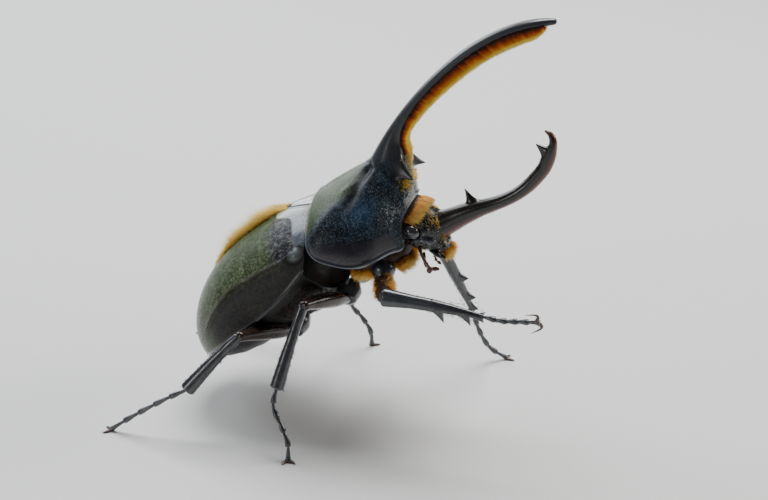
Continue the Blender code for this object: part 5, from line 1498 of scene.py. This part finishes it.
class Material(Recipe):
    """A material in the making, with its shader and with coordinates in millimetres."""

    def __init__(self, name):
        self.material = bpy.data.materials.new(name)
        self.material.use_nodes = True
        super().__init__(self.material.node_tree)
        self.shader = self.tree.nodes["Principled BSDF"]
        place = self.node("TexCoord")["Object"]
        self.vector = self.node("VectorMath", {0: place, "Scale": 1 / MM}, operation="SCALE")[0]

    def effect(self, name, values):
        """Places a shared group with this material's own values."""
        if name != "bristle":
            values = {"Vector": self.vector, **values}
        return self.node("Group", values, node_tree=shared(name))

    def speckle(self, ground, specks, share, scale, strokes, stroke_share):
        """Specks so strong and fine, and strokes so strong, over a ground colour."""
        return self.effect("speckle", {
            "Ground": ground, "Speck colour": specks, "Specks": share, "Speck scale": scale,
            "Stroke colour": strokes, "Strokes": stroke_share,
        })

    def finished(self, colour, roughness, height, millimetres, coat=0.0, coat_roughness=0.03, level=0.5):
        """The material with its colour, roughness, coat, and bumps of a height's full range."""
        bumps = {"Height": height, "Strength": 1.0, "Distance": millimetres * MM}
        fill(self.shader, {
            "Base Color": colour, "Roughness": roughness, "Normal": self.node("Bump", bumps)[0],
            "Coat Weight": coat, "Coat Roughness": coat_roughness, "Specular IOR Level": level,
        })
        return self.material


def scaled(colour, times):
    return tuple(c * times for c in colour)


def chitin_material(
    name, colour, roughness, pits=1.0, share=0.55, dust=0.0, coat=0.2, tint=None, tint_from=None
):
    """Glossy dark shell with scattered pits, fine grain and a little dust.

    Where tint_from names a painted value, the tint colour takes over with it.
    """
    m = Material(name)
    grain = m.effect("grain", {"Roughness": roughness})
    pit = m.effect("pits", {"Per millimetre": 1.5, "Size": 0.26, "Share": share})
    ground = m.mixed(m.ramp(grain["Slow"], 0.4, 0.7), colour, scaled(colour, 1.6))
    if tint_from:
        ground = m.mixed(m.painted(tint_from), ground, tint)
    dusted = m.effect("dust", {"Color": ground, "Amount": dust})
    height = m.plus(m.times(grain["Height"], 0.16), m.times(pit["Height"], pits))
    return m.finished(dusted["Color"], grain["Roughness"], height, 0.1, coat, 0.2, 0.4)


def pronotum_material(c):
    """The pronotum and great horn: olive behind, blue-black and dusty in front, smooth and dark below, with a
    painted blue glint, painted sheen on the horn's sides, painted shade in the crease and a painted highlight
    on the rim.
    """
    m = Material("pronotum_shell")
    grain = m.effect("grain", {"Roughness": c.shell_roughness, "Variation": 0.16})
    pit = m.effect("pits", {"Per millimetre": 2.3, "Size": 0.36, "Share": 0.7})
    olive, lower, blue, horn, flank, crease, rim, dusty = m.painted(
        "olive", "lower", "blue", "horn", "flank", "crease", "rim", "dust"
    )
    rear = m.speckle(c.pronotum_olive, c.pale_speck, 0.5, 3.4, c.black, 0.4)
    # The blue patch is a painted glint, a painted reflection on the blue-black
    dark = m.mixed(lower, m.mixed(blue, c.blue_black, c.blue_glint), c.lower_shell)
    front = m.speckle(dark, m.mixed(lower, c.teal_speck, c.purple_speck), 0.5, 3.4, c.black, 0.6)
    ground = m.layered(
        front["Color"],
        (olive, rear["Color"]),
        # Painted sheen on the horn's sides, which face sideways
        (horn, m.mixed(flank, c.black, c.horn_flank_sheen)),
        # Painted shade in the crease
        (m.times(crease, 0.85), c.black),
        # Painted highlight along the rim's bead
        (m.times(rim, 0.6), c.rim),
    )
    amount = m.times(m.plus(m.times(dusty, 0.75), 0.12), m.rest(m.most(horn, crease)))
    dusted = m.effect("dust", {"Color": ground, "Dust colour": c.dust, "Amount": amount})
    satin = m.most(m.times(olive, 0.1), m.times(horn, 0.16))
    plain = m.rest(m.most(lower, m.times(horn, 0.7)))
    height = m.times(m.plus(pit["Height"], m.times(grain["Height"], 0.5)), plain)
    gloss = m.most(m.times(horn, m.rest(m.times(flank, 0.75))), rim)
    gloss = m.plus(m.most(m.times(lower, 0.5), gloss), 0.06, True)
    rough = m.plus(grain["Roughness"], satin, True)
    return m.finished(dusted["Color"], rough, height, 0.1, gloss, 0.28, 0.22)


def wing_case_material(c):
    """The wing cases: speckled olive with dark strokes, a dark band beside, a pale blue painted reflection
    before, and a painted highlight with a ring of painted shade on each callus.
    """
    m = Material("wing_case_shell")
    grain = m.effect("grain", {"Roughness": c.case_roughness, "Variation": 0.14})
    pit = m.effect("pits", {"Per millimetre": 1.9, "Size": 0.4, "Share": 0.7})
    height, rear, ridge, side_band, base_band, base_shade, callus, callus_ring, rim = m.painted(
        "height", "rear", "ridge", "side_band", "base_band", "base_shade", "callus", "callus_ring", "rim"
    )
    low = m.ramp(height, 0.75, 0.1)
    case = m.speckle(
        m.mixed(low, c.case_green, c.case_olive), m.mixed(low, c.silver_speck, c.pale_speck),
        m.plus(m.times(low, 0.3), 0.55), 3.3, c.dark_stroke, 0.8,
    )
    side = m.speckle(c.side_band, c.brown_speck, 0.5, 2.2, c.black, 0.5)
    shade = m.speckle(c.base_shade, c.dust, 0.42, 1.5, c.black, 0.7)
    # The band's painted reflection: paler higher up, dimmer lower down
    band_reflection_tone = m.mixed(m.ramp(height, 0.45, 0.75), c.dim_band_reflection, c.base_band)
    pale = m.speckle(band_reflection_tone, c.dust, 0.35, 1.6, c.side_band, 0.7)
    uneven = m.times(m.less(grain["Slow"], 0.5), 0.9)
    ground = m.layered(
        case["Color"],
        (m.times(rear, 0.9), c.case_rear),
        (m.times(ridge, 0.8), c.ridge),
        (m.times(side_band, 0.95), side["Color"]),
        (m.times(base_shade, 0.92), shade["Color"]),
        # Painted reflection before the wing case
        (m.ramp(m.plus(base_band, uneven), 0.25, 0.85), pale["Color"]),
        # Painted highlight on the callus, then a ring of painted shade round it
        (m.times(callus, 0.8), c.callus),
        (callus_ring, c.black),
        (rim, c.black),
    )
    rough = m.less(grain["Roughness"], m.times(m.most(base_band, callus), 0.1), True)
    rough = m.plus(rough, m.times(side_band, 0.3), True)
    relief = m.plus(pit["Height"], m.times(case["Height"], 0.25))
    relief = m.plus(relief, m.times(grain["Height"], 0.4))
    relief = m.times(relief, m.rest(m.times(base_band, 0.8)))
    gloss = m.most(m.most(callus, m.times(base_band, 0.8)), rim)
    return m.finished(ground, rough, relief, 0.13, gloss, 0.2, 0.2)


def eye_material(c):
    """A dark glossy eye of many small facets."""
    m = Material("faceted_eye")
    values = {"Vector": m.vector, "Scale": 9.0, "Randomness": 0.25}
    facets = m.node("TexVoronoi", values)["Distance"]
    colour = m.mixed(m.ramp(facets, 0.2, 0.7), c.eye, c.black)
    return m.finished(colour, 0.1, facets, -0.012, 0.9, 0.05, 0.5)


def bristle_material(name, root, middle, tip, root_length=0.3):
    m = Material(name)
    colour = m.effect("bristle", {
        "Root colour": root, "Middle colour": middle, "Tip colour": tip, "Root length": root_length,
    })
    fill(m.shader, {"Base Color": colour["Color"], "Roughness": 0.42, "Specular IOR Level": 0.45})
    return m.material


def skin_material(name, colour):
    """Dull skin under the bristles."""
    m = Material(name)
    grain = m.effect("grain", {"Fine scale": 4.0, "Roughness": 0.65, "Variation": 0.2})
    ground = m.mixed(grain["Slow"], colour, scaled(colour, 0.5))
    return m.finished(ground, grain["Roughness"], grain["Height"], 0.08)


# Settings of the panel


def colour_setting(name, text, value):
    span = {"min": 0.0, "max": 1.0}
    return FloatVectorProperty(name=name, description=text, default=value, subtype="COLOR", size=3, **span)


def number_setting(name, text, value, unit="NONE"):
    return FloatProperty(name=name, description=text, default=value, unit=unit)


def count_setting(name, text, value):
    return IntProperty(name=name, description=text, default=value)


class BeetleColours(bpy.types.PropertyGroup):
    """Colours and finishes of the shell and bristles."""

    black: colour_setting("Black", "Black shell", (0.0035, 0.0038, 0.0048))
    blue_black: colour_setting("Blue-black", "Front of the pronotum", (0.006, 0.008, 0.012))
    # Painted reflection: the blue glint on the pronotum's side
    blue_glint: colour_setting("Blue glint", "Middle of the pronotum's side", (0.014, 0.034, 0.074))
    teal_speck: colour_setting("Teal speck", "Specks on the pronotum's side", (0.08, 0.13, 0.17))
    purple_speck: colour_setting("Purple speck", "Specks on the pronotum's lower side", (0.04, 0.034, 0.05))
    # Painted sheen on the satin sides of the great horn
    horn_flank_sheen: colour_setting("Horn flank", "Satin sides of the great horn", (0.03, 0.033, 0.04))
    lower_shell: colour_setting("Lower shell", "Smooth lower side of the pronotum", (0.015, 0.013, 0.020))
    pronotum_olive: colour_setting("Pronotum olive", "Rear of the pronotum", (0.013, 0.030, 0.006))
    # Painted highlight along the bead of the pronotum's edge
    rim: colour_setting("Rim", "Bead along the pronotum's edge", (0.16, 0.19, 0.24))
    case_green: colour_setting("Case green", "Ground of the wing cases near the seam", (0.012, 0.034, 0.005))
    case_olive: colour_setting("Case olive", "Ground of the wing cases lower down", (0.026, 0.038, 0.008))
    case_rear: colour_setting("Case rear", "Rear of the wing cases", (0.05, 0.06, 0.035))
    ridge: colour_setting("Ridge", "Red-brown ridge beside the wing cases", (0.016, 0.009, 0.006))
    side_band: colour_setting("Side band", "Band below the wing cases' ridge", (0.03, 0.029, 0.031))
    # Painted reflection: the pale band before the wing cases, and the scutellum's colour
    base_band: colour_setting("Base band", "Pale band before the wing cases", (0.34, 0.39, 0.38))
    # Dimmer painted reflection at the band's lower end and on the scutellum's rim
    dim_band_reflection: colour_setting("Base band below", "Lower end of that band", (0.085, 0.1, 0.125))
    base_shade: colour_setting("Base shade", "Dark field behind that band", (0.007, 0.0045, 0.012))
    # Painted highlight on the shoulder knobs of the wing cases
    callus: colour_setting("Callus", "Shoulder knobs of the wing cases", (0.09, 0.1, 0.115))
    silver_speck: colour_setting("Silver speck", "Specks near the seam", (0.16, 0.24, 0.13))
    dark_stroke: colour_setting("Dark stroke", "Short strokes on the wing cases", (0.006, 0.011, 0.005))
    pale_speck: colour_setting("Pale speck", "Specks on the wing cases", (0.17, 0.21, 0.11))
    brown_speck: colour_setting("Brown speck", "Specks of the side band", (0.075, 0.06, 0.05))
    dust: colour_setting("Dust", "Pale dust", (0.32, 0.33, 0.34))
    lower_horn: colour_setting("Lower horn", "Lower horn", (0.008, 0.0065, 0.006))
    horn_red: colour_setting("Horn red", "Underside of the lower horn", (0.11, 0.024, 0.008))
    # Black lifted towards bluish grey, partly a painted sheen
    leg: colour_setting("Leg", "Shins and feet", (0.018, 0.021, 0.027))
    femur: colour_setting("Femur", "Dark red-brown thighs", (0.016, 0.006, 0.004))
    belly: colour_setting("Belly", "Underside", (0.004, 0.0025, 0.0022))
    claw: colour_setting("Claw", "Claws", (0.07, 0.045, 0.035))
    mouth: colour_setting("Mouth", "Palps and antennae", (0.07, 0.02, 0.012))
    # Bluish painted highlight on the bridge before each eye, also the lip's colour
    bridge: colour_setting("Bridge", "Bluish bridge before the eye", (0.06, 0.07, 0.09))
    eye: colour_setting("Eye", "Eye facets", (0.085, 0.09, 0.105))
    gold_root: colour_setting("Gold root", "Roots of the golden bristles", (0.09, 0.026, 0.006))
    gold: colour_setting("Gold", "Middles of the golden bristles", (0.85, 0.36, 0.03))
    gold_tip: colour_setting("Gold tip", "Tips of the golden bristles", (1.0, 0.76, 0.22))
    collar: colour_setting("Collar", "Middles of the collar", (0.95, 0.42, 0.06))
    pale_root: colour_setting("Pale root", "Roots of the fringe", (0.75, 0.38, 0.05))
    pale_gold: colour_setting("Pale gold", "Middles of the fringe", (1.0, 0.68, 0.12))
    pale_tip: colour_setting("Pale tip", "Tips of the fringe", (1.0, 0.86, 0.3))
    horn_root: colour_setting("Horn root", "Roots of the great horn's brush", (0.02, 0.006, 0.004))
    horn_gold: colour_setting("Horn gold", "Middles of the great horn's brush", (0.95, 0.15, 0.002))
    horn_tip: colour_setting("Horn tip", "Tips of the great horn's brush", (1.0, 0.78, 0.08))
    shell_roughness: number_setting("Shell roughness", "Pronotum and horns", 0.24)
    case_roughness: number_setting("Case roughness", "Wing cases", 0.27)


class BeetleBristles(bpy.types.PropertyGroup):
    """How many bristles grow in each place."""

    horn: count_setting("Horn", "In each third of the great horn's brush", 6500)
    seam: count_setting("Seam", "On each side of the wing cases' seam", 2500)
    collar: count_setting("Collar", "Behind the head", 5200)
    chest: count_setting("Chest", "Below the prothorax", 7000)
    mouth: count_setting("Mouth", "Before the mouth", 1500)
    front: count_setting("Front", "Down the pronotum's front", 1800)
    waist: count_setting("Waist", "Between pronotum and wing cases", 2600)
    leg: count_setting("Leg", "On each shin", 260)
    tufts: count_setting("Tufts", "On the head", 1000)
    thigh: count_setting("Thigh", "On each front thigh", 900)
    belly: count_setting("Belly", "Below the thorax", 4000)
    seed: count_setting("Seed", "Start of the random draws", 11)


class BeetleStage(bpy.types.PropertyGroup):
    """Camera, lights and floor."""

    lens: number_setting("Lens", "Focal length", 85.0, "CAMERA")
    azimuth: number_setting("Azimuth", "Turn of the camera", math.radians(14.7), "ROTATION")
    elevation: number_setting("Elevation", "Height angle", math.radians(23), "ROTATION")
    distance: number_setting("Distance", "From camera to target", 0.453, "LENGTH")
    target_height: number_setting("Target height", "Above the floor", 0.04402, "LENGTH")
    top_light: number_setting("Top light", "Power of the soft light above", 12.0, "POWER")
    side_light: number_setting("Side light", "Power of the soft light beside", 1.3, "POWER")
    rear_light: number_setting("Rear light", "Power of the soft light behind", 5.5, "POWER")
    far_light: number_setting("Far light", "Power of the soft light beyond", 2.5, "POWER")
    front_light: number_setting("Front light", "Power of the soft light ahead", 3.5, "POWER")
    world: number_setting("World", "Strength of the pale surroundings", 0.07)


SIDES = (("left", 1), ("right", -1))


def colours():
    return bpy.context.scene.beetle_colours


def counts():
    return bpy.context.scene.beetle_bristles


def draws(offset):
    """Random draws that a group of bristles keeps from run to run."""
    return np.random.default_rng(counts().seed + offset)


# Operators, one for each group of pieces


class BEETLE_OT_wing_cases(bpy.types.Operator):
    """Adds both wing cases and the scutellum."""

    bl_idname = "beetle.wing_cases"
    bl_label = "Wing cases"

    def execute(self, context):
        c = colours()
        outer, paint = case_surface(240, 130)
        form = plate(outer, CASE_WALL, paint)
        shell = wing_case_material(c)
        for word, half in (("left", form), ("right", mirrored(form))):
            add_piece("wing_case_" + word, [half], "abdomen", shell, ["elytron_" + word])
        outer, paint = scutellum_surface()
        # The scutellum takes the band's painted reflection, dimmer on its rim
        shell = chitin_material(
            "scutellum_shell", c.base_band, 0.26, dust=0.25, coat=0.8, tint=c.dim_band_reflection, tint_from="rim"
        )
        shield = plate(outer, 1.0, paint)
        add_piece("scutellum_shield", [shield], "abdomen", shell, ["scutellum"])
        return {"FINISHED"}


class BEETLE_OT_trunk(bpy.types.Operator):
    """Adds the trunk's skin with its belly plates."""

    bl_idname = "beetle.trunk"
    bl_label = "Trunk"

    def execute(self, context):
        form = rounded_tube(trunk_surface(), 0.6, 0.5)
        material = chitin_material("belly_shell", colours().belly, 0.42, pits=0.8, share=0.7, coat=0.0)
        nodes = ["mesothorax", "metathorax", "abdomen", "pygidium"]
        add_piece("trunk", [form], "abdomen", material, nodes)
        return {"FINISHED"}


class BEETLE_OT_pronotum(bpy.types.Operator):
    """Adds the pronotum with the great horn in one skin, and the chest below."""

    bl_idname = "beetle.pronotum"
    bl_label = "Pronotum and great horn"

    def execute(self, context):
        shell = pronotum_material(colours())
        nodes = ["pronotum", "thoracic_horn_base", "thoracic_horn_middle", "thoracic_horn_tip"]
        add_piece("pronotum_and_horn", [pronotum_form()], "prothorax", shell, nodes)
        skin = skin_material("chest_skin", (0.05, 0.02, 0.01))
        add_piece("chest", [chest_surface()], "prothorax", skin, ["prosternum"])
        return {"FINISHED"}


class BEETLE_OT_head(bpy.types.Operator):
    """Adds the head, eyes, lower horn, neck and mouthparts."""

    bl_idname = "beetle.head"
    bl_label = "Head"

    def execute(self, context):
        c = colours()
        # Bluish painted highlight on the bridge before each eye
        shell = chitin_material(
            "head_shell", c.black, 0.26, pits=1.0, share=0.6, dust=0.32, tint=c.bridge, tint_from="bridge"
        )
        add_piece("head_capsule", [head_surface()], "head", shell, ["head"])
        shell = chitin_material(
            "lower_horn_shell", c.lower_horn, 0.27, pits=0.5, share=0.35, coat=0.5,
            tint=c.horn_red, tint_from="under",
        )
        nodes = ["cephalic_horn_base", "cephalic_horn_tip"]
        add_piece("lower_horn", [lower_horn_form()], "beetle", shell, nodes)
        eye = eye_material(c)
        for word, side in SIDES:
            form = ball(np.array(EYE_PLACE) * (1, side, 1), (2.05, 1.5, 1.7))
            add_piece("eye_ball_" + word, [form], "head", eye, ["eye_" + word])
        skin = skin_material("neck_skin", (0.09, 0.035, 0.012))
        add_piece("neck_skin", [neck_surface()], "head", skin, ["neck"])
        jaw = chitin_material("jaw_shell", c.black, 0.22, pits=0.2)
        red = chitin_material("mouthpart_shell", c.mouth, 0.3, pits=0.15, coat=0.5)
        for word, side in SIDES:
            mandible, palps, antenna = mouth_forms(side)
            add_piece("jaw_" + word, mandible, "head", jaw, ["mandible_" + word])
            add_piece("palps_" + word, palps, "head", red, ["palp_" + word])
            add_piece("feeler_" + word, antenna, "head", red, ["antenna_" + word])
        lip = chitin_material("lip_shell", c.bridge, 0.2, pits=0.1)
        add_piece("lip", [tuft_surface()], "head", lip, ["mouth_brush"])
        return {"FINISHED"}


class BEETLE_OT_legs(bpy.types.Operator):
    """Adds the six legs."""

    bl_idname = "beetle.legs"
    bl_label = "Legs"

    def execute(self, context):
        c = colours()
        # Hips, shins and feet: black lifted towards bluish grey, partly a painted sheen
        black = chitin_material("leg_shell", c.leg, 0.3, pits=0.8, share=0.5, coat=0.9)
        brown = chitin_material("femur_shell", c.femur, 0.28, pits=0.7, share=0.4, coat=0.4)
        claw = chitin_material("claw_shell", c.claw, 0.3, pits=0.1)
        parts = (
            ("hip", "coxa", black, "black_chitin"), ("thigh", "femur", brown, "dark_brown_chitin"),
            ("shin", "tibia", black, "black_chitin"), ("foot", "tarsus", black, "black_chitin"),
            ("claws", "tarsus", claw, "black_chitin"),
        )
        for word, leg in leg_table().items():
            for (part, solid, shell, slot), forms in zip(parts, leg_forms(leg)):
                add_piece(f"{part}_{word}", forms, "beetle", shell, [f"{solid}_{word}"])
        return {"FINISHED"}


def add_coat(name, form, segment, material, node):
    add_piece(name, [form], segment, material, [node], "OFBake")


class BEETLE_OT_bristles(bpy.types.Operator):
    """Adds all the golden bristles."""

    bl_idname = "beetle.bristles"
    bl_label = "Bristles"

    def execute(self, context):
        c, n = colours(), counts()
        flame = bristle_material("horn_bristle", c.horn_root, c.horn_gold, c.horn_tip, 0.7)
        gold = bristle_material("golden_bristle", c.gold_root, c.gold, c.gold_tip)
        pale = bristle_material("pale_bristle", c.pale_root, c.pale_gold, c.pale_tip, 0.3)
        brown = bristle_material("brown_bristle", c.black, c.femur, c.gold_root)
        bounds = np.linspace(BRUSH_START, BRUSH_END, 4)
        for k, word in enumerate(("base", "middle", "tip")):
            form = horn_brush(n.horn, bounds[k], bounds[k + 1], draws(k))
            add_coat("horn_brush_" + word, form, "prothorax", flame, "thoracic_horn_" + word)
        add_coat("front_bristles", front_brush(n.front, draws(12)), "prothorax", pale, "pronotum")
        for word, side in SIDES:
            form = seam_fringe(n.seam, side, draws(4 + side))
            add_coat("seam_fringe_" + word, form, "abdomen", pale, "elytron_" + word)
        warm = bristle_material("collar_bristle", c.gold_root, c.collar, c.gold_tip, 0.35)
        add_coat("collar", collar_bristles(n.collar, draws(7)), "head", warm, "neck")
        add_coat("chest_bristles", chest_bristles(n.chest, draws(8)), "prothorax", gold, "prosternum")
        add_coat("mouth_bristles", mouth_bristles(n.mouth, draws(9)), "head", gold, "mouth_brush")
        add_coat("waist_bristles", waist_bristles(n.waist, draws(10)), "abdomen", gold, "mesothorax")
        add_coat("belly_pile", belly_pile(n.belly, draws(11)), "abdomen", brown, "metathorax")
        add_coat("head_tufts", head_tufts(n.tufts, draws(13)), "head", pale, "head")
        for k, (word, leg) in enumerate(leg_table().items()):
            form = leg_bristles(leg, n.leg, draws(20 + k))
            add_coat("shin_bristles_" + word, form, "beetle", brown, "tibia_" + word)
            if leg["front"]:
                form = thigh_bristles(leg, n.thigh, draws(30 + k))
                add_coat("thigh_bristles_" + word, form, "beetle", gold, "femur_" + word)
        return {"FINISHED"}


# Soft square lights of the stage: place, size and tint
LIGHTS = {
    "top_light": ((0.0, 0.3, 0.8), 0.5, (1.0, 1.0, 1.0)),
    "side_light": ((-0.55, -0.8, 0.3), 0.22, (1.0, 0.98, 0.95)),
    "rear_light": ((-0.72, 0.32, 0.62), 0.6, (0.86, 0.93, 1.0)),
    "far_light": ((-0.5, 0.85, 0.35), 0.5, (0.94, 0.98, 1.0)),
    "front_light": ((0.75, 0.3, 0.45), 0.3, (1.0, 0.97, 0.92)),
}
FLOOR_REACH = 3.0


def facing(name, data, place, way):
    """Adds a light or camera that looks from its place along a way."""
    thing = added(name, data)
    thing.location = place
    thing.rotation_mode = "QUATERNION"
    thing.rotation_quaternion = way.to_track_quat("-Z", "Y")
    return thing


class BEETLE_OT_stage(bpy.types.Operator):
    """Adds the floor, soft lights, pale surroundings and camera."""

    bl_idname = "beetle.stage"
    bl_label = "Stage"

    def execute(self, context):
        s = context.scene.beetle_stage
        mesh = bpy.data.meshes.new("floor")
        corners = [(x * FLOOR_REACH, y * FLOOR_REACH, 0) for x, y in ((-1, -1), (1, -1), (1, 1), (-1, 1))]
        mesh.from_pydata(corners, [], [(0, 1, 2, 3)])
        floor = added("floor", mesh)
        material = bpy.data.materials.new("floor")
        material.use_nodes = True
        shader = material.node_tree.nodes["Principled BSDF"]
        fill(shader, {"Base Color": (0.62, 0.62, 0.61), "Roughness": 0.75})
        mesh.materials.append(material)
        target = Vector(ORIGIN * MM) + Vector((0, 0, s.target_height))
        for name, (place, size, tint) in LIGHTS.items():
            data = bpy.data.lights.new(name, "AREA")
            data.size, data.energy, data.color = size, getattr(s, name), tint
            facing(name, data, place, target - Vector(place))
        world = context.scene.world or bpy.data.worlds.new("world")
        context.scene.world = world
        world.use_nodes = True
        background = world.node_tree.nodes["Background"]
        fill(background, {"Color": (0.86, 0.9, 0.94), "Strength": s.world})
        data = bpy.data.cameras.new("camera")
        data.lens, data.sensor_width = s.lens, 36.0
        data.clip_start, data.clip_end = 0.01, 20.0
        level = math.cos(s.elevation)
        back = Vector((math.sin(s.azimuth) * level, -math.cos(s.azimuth) * level, math.sin(s.elevation)))
        camera = facing("camera", data, target + back * s.distance, -back)
        context.scene.camera = camera
        return {"FINISHED"}


class BEETLE_PT_panel(bpy.types.Panel):
    """The add-on's panel in the sidebar."""

    bl_label = "Hercules beetle"
    bl_idname = "BEETLE_PT_panel"
    bl_space_type = "VIEW_3D"
    bl_region_type = "UI"
    bl_category = "Beetle"

    def draw(self, context):
        for operator in OPERATORS:
            self.layout.operator(operator.bl_idname)
        for name in SETTINGS:
            group = getattr(context.scene, name)
            box = self.layout.box()
            for key in group.bl_rna.properties.keys():
                if key not in ("rna_type", "name"):
                    box.prop(group, key)


SETTINGS = {
    "beetle_colours": BeetleColours, "beetle_bristles": BeetleBristles, "beetle_stage": BeetleStage,
}
OPERATORS = (
    BEETLE_OT_wing_cases, BEETLE_OT_trunk, BEETLE_OT_pronotum, BEETLE_OT_head, BEETLE_OT_legs,
    BEETLE_OT_bristles, BEETLE_OT_stage,
)


def register():
    for cls in (*SETTINGS.values(), *OPERATORS, BEETLE_PT_panel):
        bpy.utils.register_class(cls)
    for name, cls in SETTINGS.items():
        setattr(bpy.types.Scene, name, PointerProperty(type=cls))


def unregister():
    for name in SETTINGS:
        delattr(bpy.types.Scene, name)
    for cls in (BEETLE_PT_panel, *reversed(OPERATORS), *SETTINGS.values()):
        bpy.utils.unregister_class(cls)


def main():
    register()
    for run in (
        bpy.ops.beetle.wing_cases, bpy.ops.beetle.trunk, bpy.ops.beetle.pronotum, bpy.ops.beetle.head,
        bpy.ops.beetle.legs, bpy.ops.beetle.bristles, bpy.ops.beetle.stage,
    ):
        run()


if __name__ == "__main__":
    main()
